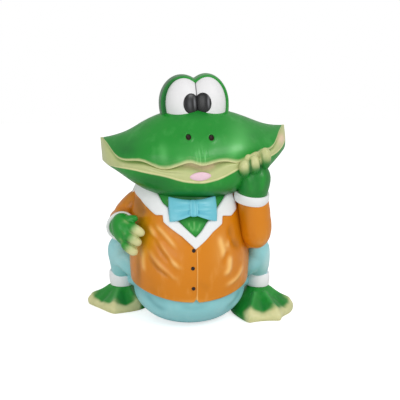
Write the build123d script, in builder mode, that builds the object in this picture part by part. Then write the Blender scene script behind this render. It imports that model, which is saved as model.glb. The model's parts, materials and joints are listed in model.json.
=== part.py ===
"""A seated frog figurine in a buttoned jacket: hollow castings bonded together over dowel pins.

Frame: +X is the side of the raised arm, -Y is the way the frog faces, +Z is up.
The origin is the centre of the closing plate's underside, on the table. Sizes are in millimetres.
"""

from build123d import *
import os

# Shared fits and walls
glue_gap = 0.2
casting_wall = 5.0
overrun = 30.0

# Jacket body: an oval tower, given level by level from the hem to the neck opening
jacket_half_width = 90.0
jacket_front = 94.0
jacket_back = 86.0
hem_height = 48.0
jacket_height = 164.0
jacket_level_shares = [
    # height, half width, front reach, back reach
    (0.00, 0.970, 0.950, 0.955),
    (0.17, 0.995, 0.990, 0.990),
    (0.34, 1.000, 1.000, 1.000),
    (0.51, 0.985, 0.960, 0.970),
    (0.68, 0.965, 0.885, 0.930),
    (0.84, 0.930, 0.780, 0.860),
    (1.00, 0.800, 0.610, 0.700),
]
front_shift = -3.5
front_edge_shift = 3.0
front_edge_width = 1.2
front_edge_depth = 1.0
hem_notch_width = 8.0
hem_notch_height = 5.0
hem_rise = 15.0

# Trouser seat: a round-bottomed bowl, lapped up inside the jacket
seat_lap = 12.0
lap_start_share = 0.88
seat_level_shares = [
    # height as a share of the hem height, reach as a share of the jacket's bore at the hem
    (0.00, 0.430),
    (0.11, 0.620),
    (0.30, 0.800),
    (0.60, 0.955),
    (0.84, 1.003),
    (1.00, 1.008),
]

# Closing plate under the seat
plate_radius = 28.0
plate_thickness = 4.0
plate_lip = 4.0
vent_radius = 3.0
vent_offset = 15.0

# Chest between the lapels, and the neck that carries the head
opening_shares = [
    # half width as a share of the jacket's half width, height as a share of the jacket's top
    (0.000, 0.675),
    (0.215, 0.768),
    (0.372, 0.846),
    (0.520, 0.920),
    (0.600, 1.000),
]
chest_recess = 2.5
chest_flange = 5.0
chest_wall = 4.0
throat_height_share = 0.87
neck_radius = 34.0
neck_wall = 6.0
neck_height = 20.0

# Lapels and collar, as half widths and heights in the same shares as the opening
lapel_thickness = 2.6
lapel_tip_share = 0.601
right_lapel_shares = [
    (0.450, 0.768),
    (0.455, 0.816),
    (0.572, 0.806),
    (0.740, 0.884),
    (0.840, 1.000),
]
left_lapel_shares = [
    (0.445, 0.752),
    (0.450, 0.802),
    (0.590, 0.792),
    (0.680, 0.840),
    (0.645, 0.905),
    (0.620, 1.000),
]
collar_side_share = 0.955
collar_nape_share = 0.870

# Buttons down the front
button_radius = 3.2
button_dome = 2.0
button_crown_share = 0.75
button_shank_radius = 1.5
button_height_shares = [0.582, 0.471, 0.333]
button_shift = -1.5

# Bow tie
bow_height_share = 0.850
bow_half_width = 33.0
bow_end_height = 35.0
bow_waist_height = 22.0
bow_end_thickness = 8.0
bow_waist_thickness = 10.0
bow_sweep = 5.0
bow_knot_width = 16.0
bow_knot_height = 24.0
bow_knot_proud = 4.0
bow_round = 3.0

# Head: a wide lens, given station by station across its width in its own tilted frame
head_half_width = 139.5
head_height = 120.0
head_above_jacket = 50.0
head_side = 10.0
head_turn = -2.5
head_roll = -3.5
corner_behind = 20.0
snout_reach = 108.0
crown_reach = 55.0
corner_half_depth = 9.0
snout_power_share = 0.62
crown_power_share = 0.50
head_wall = 6.0
head_station_shares = [
    # station, top, bottom and mouth middle as shares of the head's height
    (0.00, 0.440, -0.630, -0.233),
    (0.20, 0.428, -0.615, -0.228),
    (0.40, 0.375, -0.565, -0.208),
    (0.55, 0.312, -0.487, -0.167),
    (0.70, 0.236, -0.370, -0.117),
    (0.83, 0.190, -0.255, -0.067),
    (0.93, 0.164, -0.180, -0.017),
    (1.00, 0.150, -0.125, 0.008),
]
head_ring_shares = [
    # depth from the snout, and rise above (+) or drop below (-) the mouth middle
    (0.000, 0.00),
    (0.060, 0.45),
    (0.260, 0.90),
    (0.550, 1.00),
    (0.920, 0.62),
    (1.000, 0.08),
    (0.880, -0.60),
    (0.450, -1.00),
    (0.085, -0.76),
]

# Mouth: lip lines from corner to corner, as half widths of the head and shares of its height
upper_lip_shares = [
    (-1.020, 0.200),
    (-0.970, 0.155),
    (-0.900, 0.071),
    (-0.840, -0.020),
    (-0.780, -0.063),
    (-0.670, -0.070),
    (-0.550, -0.086),
    (-0.455, -0.139),
    (-0.360, -0.170),
    (-0.265, -0.153),
    (-0.165, -0.119),
    (-0.095, -0.114),
    (-0.030, -0.142),
    (0.030, -0.152),
    (0.100, -0.138),
    (0.175, -0.125),
    (0.275, -0.135),
    (0.365, -0.158),
    (0.455, -0.133),
    (0.555, -0.098),
    (0.630, -0.063),
    (0.750, -0.050),
    (0.820, 0.019),
    (0.875, 0.091),
    (0.955, 0.158),
    (1.020, 0.190),
]
lower_lip_shares = [
    (-1.020, -0.115),
    (-0.960, -0.150),
    (-0.840, -0.172),
    (-0.675, -0.187),
    (-0.555, -0.215),
    (-0.435, -0.242),
    (-0.320, -0.279),
    (-0.200, -0.324),
    (-0.080, -0.351),
    (0.015, -0.358),
    (0.115, -0.344),
    (0.215, -0.313),
    (0.290, -0.278),
    (0.380, -0.235),
    (0.540, -0.190),
    (0.710, -0.164),
    (0.810, -0.135),
    (0.905, -0.075),
    (0.965, 0.014),
    (1.020, 0.105),
]
mouth_back = 27.0
lip_recess = 3.0
lining_wall = 4.5
tongue_half_length = 16.0
tongue_half_height = 6.0
tongue_proud = 1.4
tongue_height_share = -0.300

# Nostrils
nostril_radius = 4.0
nostril_depth = 4.0
nostril_side = 15.7
nostril_rise_share = 0.147

# Eyes and their hood
eye_shift = 3.0
eye_side = 16.7
eye_half_width = 26.8
eye_half_height = 39.0
eye_rise = 61.5
eye_forward = 17.0
hood_side = 16.4
hood_half_width = 34.0
hood_half_height = 42.0
hood_station_shares = [
    # distance behind the eyes' centre in eye half widths, size
    (-0.38, 0.900),
    (0.17, 0.985),
    (0.67, 1.000),
    (1.18, 0.930),
    (1.64, 0.740),
    (1.93, 0.460),
]
pupil_thickness = 1.3
pupil_half_width = 9.4
pupil_half_height = 15.0
pupil_side = 10.2

# Arms: places are shares of the jacket's half width, front reach and top height
left_shoulder_shares = (0.800, 0.020, 0.845)
left_elbow_shares = (1.044, -0.532, 0.632)
left_wrist_shares = (0.945, -0.585, 0.882)
left_arm_radius = 22.0
left_elbow_radius = 22.4
left_wrist_radius = 23.0
right_shoulder_shares = (-0.800, 0.085, 0.850)
right_elbow_shares = (-1.111, 0.298, 0.708)
right_wrist_shares = (-1.156, -0.213, 0.722)
right_arm_radius = 20.0
right_elbow_radius = 19.5
right_wrist_radius = 16.5
sleeve_swell = 1.0
joint_share = 0.96
cuff_width = 15.0
cuff_wall = 4.0
cuff_inset = 1.0
cuff_round = 1.2

# Hands: places in the same shares; each finger runs from its knuckle to its tip
left_palm_shares = (1.011, -0.702, 0.976)
left_knuckle_shares = [(0.767, -0.830, 1.090), (0.922, -0.809, 1.104), (1.089, -0.745, 1.125)]
left_fingertip_shares = [(0.700, -0.872, 1.127), (0.844, -0.851, 1.146), (1.044, -0.760, 1.212)]
right_palm_shares = (-1.144, -0.468, 0.698)
right_knuckle_shares = [(-1.033, -0.617, 0.736), (-1.089, -0.638, 0.675), (-1.122, -0.585, 0.613)]
right_fingertip_shares = [(-0.833, -0.585, 0.684), (-0.889, -0.532, 0.618), (-0.944, -0.447, 0.552)]
thumb_shares = [(-1.089, -0.426, 0.765), (-0.940, -0.500, 0.785)]
left_hand_half_width = 22.0
left_hand_half_thickness = 13.0
right_hand_half_width = 17.0
right_hand_half_thickness = 11.0
hand_section_shares = [(0.78, 1.15), (0.90, 1.05), (1.00, 0.72)]
knuckle_radius = 7.4
finger_radius = 8.2
fingertip_radius = 6.2
finger_root_share = 0.35
finger_growth_share = 0.02

# Legs: places are shares of the jacket's half width and front reach and of the hem height
right_ankle_shares = (-1.150, 0.660, 0.740)
right_knee_shares = (-1.122, 0.319, 2.021)
right_hip_shares = (-0.644, 0.100, 1.375)
left_ankle_shares = (1.207, 0.191, 0.850)
left_knee_shares = (1.085, -0.362, 2.000)
left_hip_shares = (0.644, 0.100, 1.375)
ankle_radius = 16.6
knee_radius = 18.8
hip_radius = 21.0
leg_swell = 1.4
trouser_cuff_width = 20.0

# Feet: a webbed fan of three toes, seen from above round the ankle
right_foot_reach = 55.0
left_foot_reach = 76.0
right_toe_shares = [(-1.00, 0.13), (-0.28, -0.93), (0.45, -0.70)]
left_toe_shares = [(-0.39, -0.96), (0.26, -0.92), (0.74, -0.28)]
toe_round = 8.0
heel_reach = 20.0
foot_half_width = 17.0
web_share = 0.99
foot_level_shares = [
    # height as a share of the foot's height, size of the fan
    (0.00, 0.970),
    (0.11, 1.000),
    (0.30, 0.975),
    (0.50, 0.850),
    (0.70, 0.670),
    (0.87, 0.500),
    (1.00, 0.380),
]

# Dowel pins
pin_radius = 2.5
pin_half_length = 10.0
pin_clearance = 0.1

# Places worked out from the sizes above
jacket_top = hem_height + jacket_height
head_frame = Plane(Location((head_side, 0, jacket_top + head_above_jacket), (0, head_roll, head_turn)))
head_sideways = Plane(origin=head_frame.origin, x_dir=head_frame.y_dir, z_dir=head_frame.x_dir)
throat_height = throat_height_share * jacket_top
hem_width_share, hem_front_share, hem_back_share = jacket_level_shares[0][1:]
hem_bore_width = hem_width_share * jacket_half_width - casting_wall
hem_bore_front = hem_front_share * jacket_front - casting_wall
hem_bore_back = hem_back_share * jacket_back - casting_wall


def place(shares):
    """A point of the body from shares of the jacket's half width, front reach and top height."""
    return Vector(shares[0] * jacket_half_width, shares[1] * jacket_front, shares[2] * jacket_top)


def leg_place(shares):
    """A point of a leg from shares of the jacket's half width, front reach and the hem height."""
    return Vector(shares[0] * jacket_half_width, shares[1] * jacket_front, shares[2] * hem_height)


def front_points(shares, side=1):
    """Outline points on the front view, from shares of the jacket's half width and top height."""
    return [(front_shift + side * x * jacket_half_width, z * jacket_top) for x, z in shares]


def oval_tower(levels):
    """A smooth solid through ovals, each given as height, half width, front reach and back reach."""
    with BuildPart() as tower:
        for height, half_width, front, back in levels:
            with BuildSketch(Plane.XY.offset(height)):
                with Locations((0, (back - front) / 2)):
                    Ellipse(half_width, (front + back) / 2)
        loft()
    return tower.part


def jacket_form(grow=0.0):
    """The jacket's outer shape, grown (+) or shrunk (-) sideways."""
    return oval_tower(
        [
            (
                hem_height + share * jacket_height,
                width * jacket_half_width + grow,
                front * jacket_front + grow,
                back * jacket_back + grow,
            )
            for share, width, front, back in jacket_level_shares
        ]
    )


def seat_form(shrink=0.0, floor=0.0, top=hem_height - glue_gap):
    """The seat's outer shape from a floor up to just under the hem, shrunk sideways."""
    rise = top - floor
    return oval_tower(
        [
            (
                floor + share * rise,
                reach * hem_bore_width - shrink,
                reach * hem_bore_front - shrink,
                reach * hem_bore_back - shrink,
            )
            for share, reach in seat_level_shares
        ]
    )


def limb(start, end, start_radius, middle_radius, end_radius):
    """A round-ended limb, turned about the line from start to end."""
    length = (end - start).length
    along = (end - start).normalized()
    across = along.cross(Vector(1, 0, 0))
    with BuildPart() as made:
        with BuildSketch(Plane(origin=start, x_dir=along, z_dir=across)):
            with BuildLine():
                CenterArc((0, 0), start_radius, 90, 90)
                Spline((0, start_radius), (length / 2, middle_radius), (length, end_radius))
                CenterArc((length, 0), end_radius, 0, 90)
                Line((-start_radius, 0), (length + end_radius, 0))
            make_face()
        revolve(axis=Axis(start, along))
    return made.part


def tapered_limb(start, end, start_radius, end_radius, swell):
    """A limb that tapers from end to end, with a little more flesh at its middle."""
    return limb(start, end, start_radius, (start_radius + end_radius) / 2 + swell, end_radius)


def rod(start, end, radius):
    """A plain round bar from start to end."""
    with BuildPart() as bar:
        with BuildSketch(Plane(origin=start, z_dir=(end - start).normalized())):
            Circle(radius)
        extrude(amount=(end - start).length)
    return bar.part


def band(centre, direction, outer, inner, width):
    """A turned cuff: a short tube with rounded edges, centred on a point."""
    with BuildPart() as tube:
        with BuildSketch(Plane(origin=centre - direction * (width / 2), z_dir=direction)):
            Circle(outer)
            Circle(inner, mode=Mode.SUBTRACT)
        extrude(amount=width)
        fillet(tube.edges().filter_by(GeomType.CIRCLE), cuff_round)
    return tube.part


def side_of(plane):
    """A large block on the side of a plane that its normal points to."""
    size = 4 * (head_half_width + overrun)
    with BuildPart() as block:
        with BuildSketch(plane):
            Rectangle(size, size)
        extrude(amount=size)
    return block.part


def head_ring(station, inset):
    """The head's outline across one station, as points round it."""
    share, top, bottom, middle = station
    side = 1 - share**2
    reach = corner_half_depth + (snout_reach - corner_half_depth) * side**snout_power_share - inset
    crown = corner_half_depth + (crown_reach - corner_half_depth) * side**crown_power_share - inset
    rise = (top - middle) * head_height - inset
    drop = (middle - bottom) * head_height - inset
    return [
        (
            corner_behind - reach + depth * (reach + crown),
            middle * head_height + height * (rise if height > 0 else drop),
        )
        for depth, height in head_ring_shares
    ]


def head_form(inset=0.0, stations=head_station_shares):
    """The head's outer shape through its stations on both sides, shrunk all round by the inset."""
    both = [(-station[0], station) for station in reversed(stations[1:])]
    both += [(station[0], station) for station in stations]
    with BuildPart() as form:
        for share, station in both:
            with BuildSketch(head_sideways.offset(share * (head_half_width - inset))):
                with BuildLine():
                    Spline(*head_ring(station, inset), periodic=True)
                make_face()
        loft()
    return form.part


def lip_block(lip_shares, shift=0.0, upwards=True, behind=crown_reach + overrun):
    """Everything above (or below) a lip line, from in front of the snout back to a stop."""
    points = [(share * head_half_width, height * head_height + shift) for share, height in lip_shares]
    end = head_height if upwards else -head_height
    front = snout_reach + overrun
    with BuildPart() as block:
        with BuildSketch(facing_plane(head_frame.origin).offset(front)):
            with BuildLine():
                Spline(*points)
                Polyline(points[-1], (points[-1][0], end), (points[0][0], end), points[0])
            make_face()
        extrude(amount=-(front + behind))
    return block.part


def facing_plane(origin):
    """A plane that faces the way the head faces, upright in the head's frame."""
    return Plane(origin=origin, x_dir=head_frame.x_dir, z_dir=-head_frame.y_dir)


def eye_point(side, forward, rise):
    """A point of the eyes in the head's frame, from the middle between them."""
    return head_frame.from_local_coords((eye_shift + side, -forward, rise))


def eyeball_form(side, grow=0.0):
    """One eye: an egg standing upright on the head."""
    centre = eye_point(side * eye_side, eye_forward, eye_rise)
    with BuildPart() as form:
        with BuildSketch(facing_plane(centre)):
            Ellipse(eye_half_width + grow, eye_half_height + grow)
            with Locations((-2 * eye_half_width, 0)):
                Rectangle(4 * eye_half_width, 4 * eye_half_height, mode=Mode.SUBTRACT)
        revolve(axis=Axis(centre, head_frame.z_dir))
    return form.part


def hood_lobe(side):
    """One rounded lobe of the hood behind an eye."""
    with BuildPart() as lobe:
        for behind, size in hood_station_shares:
            origin = eye_point(side * hood_side, eye_forward - behind * eye_half_width, eye_rise)
            with BuildSketch(facing_plane(origin)):
                Ellipse(size * hood_half_width, size * hood_half_height)
        loft()
    return lobe.part


def fan_points(toes, reach):
    """The webbed foot's outline round the ankle: heel, then each toe with the web dips between them."""
    tips = [Vector(x * reach, y * reach) for x, y in toes]
    middle = (tips[0].normalized() + tips[-1].normalized()).normalized()
    across = Vector(-middle.Y, middle.X)
    if across.dot(tips[0]) < 0:
        across = -across
    points = [-middle * heel_reach, across * foot_half_width]
    for index, tip in enumerate(tips):
        if index:
            points.append((tips[index - 1] + tip) / 2 * web_share)
        out = tip.normalized()
        turn = Vector(-out.Y, out.X)
        if turn.dot(across) < 0:
            turn = -turn
        back = tip - out * toe_round
        points += [back + turn * toe_round, tip, back - turn * toe_round]
    points.append(-across * foot_half_width)
    return points


def foot_form(ankle, toes, reach, height):
    """A foot as a fan that narrows upwards to the ankle."""
    outline = fan_points(toes, reach)
    with BuildPart() as foot:
        for share, size in foot_level_shares:
            with BuildSketch(Plane.XY.offset(share * height)):
                with BuildLine():
                    Spline(*[(ankle.X + size * p.X, ankle.Y + size * p.Y) for p in outline], periodic=True)
                make_face()
        loft()
    return foot.part


def save(name, solid):
    """Labels one finished piece and writes it to its own file."""
    solid.label = name
    export_step(solid, f"parts/{name}.step")
    print(name, "solids", len(solid.solids()), "volume", round(solid.volume, 1))


os.makedirs("parts", exist_ok=True)

# Shared outer and inner shapes
jacket_outer = jacket_form()
jacket_seat = jacket_form(glue_gap)
lapel_outer = jacket_form(lapel_thickness)
lapel_seat = jacket_form(lapel_thickness + glue_gap)
head_outer = head_form()
head_seat = head_form(-glue_gap)


def opening_prism(grow=0.0):
    """The throat opening, grown or shrunk sideways, from the body's middle out past the front."""
    right_side = front_points(opening_shares)
    left_side = [(2 * front_shift - x, z) for x, z in reversed(right_side[1:])]
    top = jacket_top + overrun
    with BuildPart() as prism:
        with BuildSketch(Plane.XZ):
            with BuildLine():
                Polyline(
                    *left_side,
                    *right_side,
                    (right_side[-1][0], top),
                    (left_side[0][0], top),
                    close=True,
                )
            make_face()
            if grow:
                offset(amount=grow, kind=Kind.INTERSECTION)
        extrude(amount=jacket_front + overrun)
    return prism.part


def surface_plane(form, start, direction):
    """The plane that touches a form where a line leaves it."""
    start, direction = Vector(*start), Vector(*direction)
    hits = form.find_intersection_points(Axis(start, direction))
    point, normal = max(hits, key=lambda hit: (hit[0] - start).dot(direction))
    return Plane(origin=point, z_dir=normal if normal.dot(direction) > 0 else -normal)


def dowel_line(plane):
    """Both ends of a dowel that crosses a glued face squarely."""
    return plane.origin - plane.z_dir * pin_half_length, plane.origin + plane.z_dir * pin_half_length


def dowel_hole(line):
    """The drilling for a dowel, a little larger than the pin all round."""
    along = (line[1] - line[0]).normalized()
    return rod(line[0] - along * pin_clearance, line[1] + along * pin_clearance, pin_radius + pin_clearance)


# Limb places and the dowel pins across their glued faces
arms = {
    "left": (left_shoulder_shares, left_elbow_shares, left_wrist_shares),
    "right": (right_shoulder_shares, right_elbow_shares, right_wrist_shares),
}
arm_radii = {
    "left": (left_arm_radius, left_elbow_radius, left_wrist_radius),
    "right": (right_arm_radius, right_elbow_radius, right_wrist_radius),
}
legs = {
    "left": (left_ankle_shares, left_knee_shares, left_hip_shares),
    "right": (right_ankle_shares, right_knee_shares, right_hip_shares),
}
arm_places = {side: [place(shares) for shares in arms[side]] for side in arms}
leg_places = {side: [leg_place(shares) for shares in legs[side]] for side in legs}
shoulder_dowels, hip_dowels, wrist_dowels, ankle_dowels = {}, {}, {}, {}
for side in ("left", "right"):
    shoulder, elbow, wrist = arm_places[side]
    ankle, knee, hip = leg_places[side]
    shoulder_dowels[side] = dowel_line(surface_plane(jacket_outer, shoulder, elbow - shoulder))
    hip_dowels[side] = dowel_line(surface_plane(jacket_outer, hip, knee - hip))
    wrist_dowels[side] = dowel_line(Plane(origin=wrist, z_dir=wrist - elbow))
    ankle_dowels[side] = dowel_line(Plane(origin=ankle, z_dir=(0, 0, 1)))
for name, lines in (
    ("shoulder_pins", shoulder_dowels),
    ("hip_pins", hip_dowels),
    ("wrist_pins", wrist_dowels),
    ("ankle_pins", ankle_dowels),
):
    with BuildPart() as pins:
        for line in lines.values():
            add(rod(line[0], line[1], pin_radius))
    save(name, pins.part)

# Button places on the jacket, and the drillings for their shanks
button_planes = [
    surface_plane(jacket_outer, (front_shift + button_shift, 0, share * jacket_top), (0, -1, 0))
    for share in button_height_shares
]

# Jacket shell, open at the throat, the neck and the seat
front_edge_x = front_shift + front_edge_shift
with BuildPart() as front_edge:
    with BuildSketch(Plane.XZ):
        with Locations((front_edge_x, hem_height)):
            Rectangle(
                front_edge_width,
                lapel_tip_share * jacket_top - hem_height,
                align=(Align.CENTER, Align.MIN),
            )
    extrude(amount=jacket_front + overrun)
    add(jacket_form(-front_edge_depth), mode=Mode.SUBTRACT)
with BuildPart() as jacket_shell:
    add(jacket_outer)
    add(jacket_form(-casting_wall), mode=Mode.SUBTRACT)
    add(opening_prism(), mode=Mode.SUBTRACT)
    with BuildSketch(Plane.XY.offset(throat_height)):
        Circle(neck_radius + glue_gap)
    extrude(amount=jacket_top, mode=Mode.SUBTRACT)
    add(head_seat, mode=Mode.SUBTRACT)
    with BuildSketch(Plane.XZ.offset(jacket_front / 2)):
        with BuildLine():
            Polyline(
                (front_edge_x - hem_notch_width / 2, hem_height),
                (front_edge_x + hem_notch_width / 2, hem_height),
                (front_edge_x, hem_height + hem_notch_height),
                close=True,
            )
        make_face()
    extrude(amount=jacket_front, mode=Mode.SUBTRACT)
    add(front_edge.part, mode=Mode.SUBTRACT)
    with BuildSketch(Plane.XZ.offset(-jacket_back - overrun)):
        with BuildLine():
            ThreePointArc(
                (-jacket_half_width, hem_height + hem_rise),
                (0, hem_height),
                (jacket_half_width, hem_height + hem_rise),
            )
            Polyline(
                (-jacket_half_width, hem_height + hem_rise),
                (-jacket_half_width, 0),
                (jacket_half_width, 0),
                (jacket_half_width, hem_height + hem_rise),
            )
        make_face()
    extrude(amount=jacket_back + jacket_front + 2 * overrun, mode=Mode.SUBTRACT)
    for plane in button_planes:
        with BuildSketch(plane.offset(-overrun)):
            Circle(button_shank_radius + glue_gap)
        extrude(amount=2 * overrun, mode=Mode.SUBTRACT)
    for side in ("left", "right"):
        add(dowel_hole(shoulder_dowels[side]), mode=Mode.SUBTRACT)
        add(dowel_hole(hip_dowels[side]), mode=Mode.SUBTRACT)
save("jacket_shell", jacket_shell.part)

# Seat bowl, lapped up inside the jacket, with a rebated hole for the closing plate
with BuildPart() as seat_bowl:
    add(seat_form())
    add(seat_form(casting_wall, plate_thickness + glue_gap + plate_lip), mode=Mode.SUBTRACT)
    with BuildSketch(Plane.XY.offset(lap_start_share * hem_height)):
        with Locations((0, (hem_bore_back - hem_bore_front) / 2)):
            Ellipse(hem_bore_width - glue_gap, (hem_bore_front + hem_bore_back) / 2 - glue_gap)
            Ellipse(
                hem_bore_width - glue_gap - chest_wall,
                (hem_bore_front + hem_bore_back) / 2 - glue_gap - chest_wall,
                mode=Mode.SUBTRACT,
            )
    extrude(amount=hem_rise + seat_lap + (1 - lap_start_share) * hem_height)
    with BuildSketch():
        Circle(plate_radius + glue_gap)
    extrude(amount=plate_thickness + glue_gap, mode=Mode.SUBTRACT)
    with BuildSketch():
        Circle(plate_radius - plate_lip)
    extrude(amount=hem_height, mode=Mode.SUBTRACT)
seat = seat_bowl.part

# Closing plate with its drain hole
with BuildPart() as closing_plate:
    with BuildSketch():
        Circle(plate_radius)
        with Locations((0, vent_offset)):
            Circle(vent_radius, mode=Mode.SUBTRACT)
    extrude(amount=plate_thickness)
plate = closing_plate.part

# Chest filling the throat opening, with its flange behind the jacket and the neck above
with BuildPart() as chest_hollow:
    add(jacket_form(-casting_wall - glue_gap - chest_wall))
    split(bisect_by=Plane.XY.offset(throat_height), keep=Keep.BOTTOM)
with BuildPart() as chest_flange_plate:
    add(jacket_form(-casting_wall - glue_gap))
    add(opening_prism(chest_flange), mode=Mode.INTERSECT)
with BuildPart() as chest_and_neck:
    add(jacket_form(-chest_recess))
    add(opening_prism(-glue_gap), mode=Mode.INTERSECT)
    add(chest_flange_plate.part)
    add(chest_hollow.part, mode=Mode.SUBTRACT)
    add(head_seat, mode=Mode.SUBTRACT)
    with BuildSketch(Plane.XY.offset(throat_height)):
        Circle(neck_radius)
    extrude(amount=jacket_top + neck_height - throat_height)
    with BuildSketch(Plane.XY.offset(throat_height)):
        Circle(neck_radius - neck_wall)
    extrude(amount=jacket_top, mode=Mode.SUBTRACT)
chest = chest_and_neck.part

# Lapels: raised cloth lying on the jacket either side of the throat
cloth = lapel_outer - jacket_seat - head_seat


def lapel(shares, side):
    """One lapel, cut from the raised cloth by its outline on the front view."""
    outer = front_points([(0, lapel_tip_share)] + shares, side)
    inner = front_points(opening_shares, side)
    with BuildPart() as made:
        with BuildSketch(Plane.XZ.offset(glue_gap)):
            with BuildLine():
                Polyline(*outer, *reversed(inner), close=True)
            make_face()
        extrude(amount=jacket_front + overrun)
        middle = Plane(origin=(front_shift + side * glue_gap / 2, 0, 0), z_dir=(side, 0, 0))
        add(side_of(middle), mode=Mode.INTERSECT)
        add(cloth, mode=Mode.INTERSECT)
    return made.part


lapel_left = lapel(left_lapel_shares, 1)
lapel_right = lapel(right_lapel_shares, -1)

# Collar round the back of the neck
with BuildPart() as collar_stand:
    with BuildSketch(Plane.YZ.offset(-jacket_half_width)):
        with BuildLine():
            Polyline(
                (glue_gap, collar_side_share * jacket_top),
                (jacket_back, collar_nape_share * jacket_top),
                (jacket_back, jacket_top),
                (glue_gap, jacket_top),
                close=True,
            )
        make_face()
    extrude(amount=2 * jacket_half_width)
    add(cloth, mode=Mode.INTERSECT)
collar = collar_stand.part


# Buttons, domed, each with a shank set into the jacket
with BuildPart() as jacket_buttons:
    for plane in button_planes:
        with BuildSketch(plane.offset(glue_gap)):
            Circle(button_radius)
        extrude(amount=button_dome)
    rims = jacket_buttons.edges().filter_by(GeomType.CIRCLE)
    fillet(rims.group_by(Axis.Y)[0], button_dome * button_crown_share)
    for plane in button_planes:
        with BuildSketch(plane.offset(glue_gap)):
            Circle(button_shank_radius)
        extrude(amount=-chest_wall)

# Bow tie: a knot on the chest, and a wing each side lying on the lapels
bow_height = bow_height_share * jacket_top
bow_plane = surface_plane(lapel_outer, (front_shift, 0, bow_height), (0, -1, 0))
knot_front = bow_plane.origin.Y - bow_waist_thickness
with BuildPart() as bow_tie_knot:
    with BuildSketch(Plane.XZ.offset(-knot_front + bow_knot_proud)):
        with Locations((front_shift, bow_height)):
            RectangleRounded(bow_knot_width, bow_knot_height, bow_round)
    extrude(amount=-2 * bow_waist_thickness - bow_knot_proud)
    fillet(bow_tie_knot.edges().group_by(Axis.Y)[0], bow_round / 2)
    add(jacket_form(glue_gap - chest_recess), mode=Mode.SUBTRACT)
    add(head_seat, mode=Mode.SUBTRACT)
knot = bow_tie_knot.part


def bow_wing(side):
    """One wing of the bow tie, widening from the knot to its end."""
    start = bow_knot_width / 2 + glue_gap
    rows = [
        (start, bow_waist_height, bow_waist_thickness, 0),
        (
            (start + bow_half_width) / 2,
            (bow_waist_height + bow_end_height) / 2,
            (bow_waist_thickness + bow_end_thickness) / 2,
            bow_sweep / 4,
        ),
        (bow_half_width, bow_end_height, bow_end_thickness, bow_sweep),
    ]
    with BuildPart() as wing:
        for out, height, thickness, sweep in rows:
            origin = (front_shift + side * out, knot_front + sweep + thickness / 2, bow_height)
            with BuildSketch(Plane(origin=origin, x_dir=(0, 1, 0), z_dir=(1, 0, 0))):
                RectangleRounded(thickness, height, bow_round)
        loft()
        add(lapel_seat, mode=Mode.SUBTRACT)
        add(head_seat, mode=Mode.SUBTRACT)
    return wing.part


bow_wings = {"left": bow_wing(1), "right": bow_wing(-1)}

# Head: upper head, lower jaw and the mouth lining between them
head_hollow = head_form(head_wall, head_station_shares[:-1])
head_rear = side_of(
    Plane(
        origin=head_frame.from_local_coords((0, mouth_back - glue_gap, 0)),
        x_dir=head_frame.x_dir,
        z_dir=head_frame.y_dir,
    )
)
with BuildPart() as neck_hole:
    with BuildSketch(Plane.XY.offset(throat_height)):
        Circle(neck_radius + glue_gap)
    extrude(amount=jacket_top + neck_height + glue_gap - throat_height)
with BuildPart() as upper_head:
    add(head_outer)
    add(head_hollow, mode=Mode.SUBTRACT)
    add(lip_block(upper_lip_shares, upwards=False, behind=mouth_back), mode=Mode.SUBTRACT)
    add(neck_hole.part, mode=Mode.SUBTRACT)
    for side in (-1, 1):
        origin = head_frame.from_local_coords((side * nostril_side, 0, nostril_rise_share * head_height))
        hits = head_outer.find_intersection_points(Axis(origin, -head_frame.y_dir))
        rim = min((found[0] for found in hits), key=lambda found: found.Y)
        with BuildSketch(Plane(origin=rim - head_frame.y_dir * overrun, z_dir=head_frame.y_dir)):
            Circle(nostril_radius)
        extrude(amount=overrun + nostril_depth, mode=Mode.SUBTRACT)
with BuildPart() as lower_jaw:
    add(head_outer)
    add(head_hollow, mode=Mode.SUBTRACT)
    add(lip_block(lower_lip_shares), mode=Mode.SUBTRACT)
    add(head_rear, mode=Mode.SUBTRACT)
    add(neck_hole.part, mode=Mode.SUBTRACT)
with BuildPart() as mouth_lining:
    add(head_form(lip_recess))
    add(lip_block(upper_lip_shares, -glue_gap), mode=Mode.SUBTRACT)
    add(lip_block(lower_lip_shares, glue_gap, upwards=False), mode=Mode.SUBTRACT)
    add(head_rear, mode=Mode.SUBTRACT)
    add(head_form(lip_recess + lining_wall, head_station_shares[:-1]), mode=Mode.SUBTRACT)

# Tongue, a thin pad on the lining
tongue_middle = (0, 0, tongue_height_share * head_height)
with BuildPart() as tongue:
    with BuildSketch(facing_plane(head_frame.from_local_coords(tongue_middle))):
        Ellipse(tongue_half_length, tongue_half_height)
    extrude(amount=snout_reach + overrun)
    add(head_form(lip_recess - tongue_proud), mode=Mode.INTERSECT)
    add(head_form(lip_recess - glue_gap), mode=Mode.SUBTRACT)

# Eyes: two eggs meeting in the middle, a pupil cap on each and the hood behind
eyeballs = {}
pupils = {}
for name, side in (("left", 1), ("right", -1)):
    middle = eye_point(side * glue_gap / 2, 0, 0)
    own_side = side_of(Plane(origin=middle, z_dir=head_frame.x_dir * side))
    eyeballs[name] = eyeball_form(side) & own_side
    eyeballs[name] = eyeballs[name] - head_seat
    with BuildPart() as pupil:
        with BuildSketch(facing_plane(eye_point(side * pupil_side, eye_forward, eye_rise))):
            Ellipse(pupil_half_width, pupil_half_height)
        extrude(amount=snout_reach)
        add(eyeball_form(side, pupil_thickness), mode=Mode.INTERSECT)
        add(eyeball_form(side, glue_gap), mode=Mode.SUBTRACT)
        add(own_side, mode=Mode.INTERSECT)
        add(head_seat, mode=Mode.SUBTRACT)
    pupils[name] = pupil.part
with BuildPart() as eye_hood:
    add(hood_lobe(1))
    add(hood_lobe(-1))
    add(eyeball_form(1, glue_gap), mode=Mode.SUBTRACT)
    add(eyeball_form(-1, glue_gap), mode=Mode.SUBTRACT)
    add(head_seat, mode=Mode.SUBTRACT)

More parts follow.
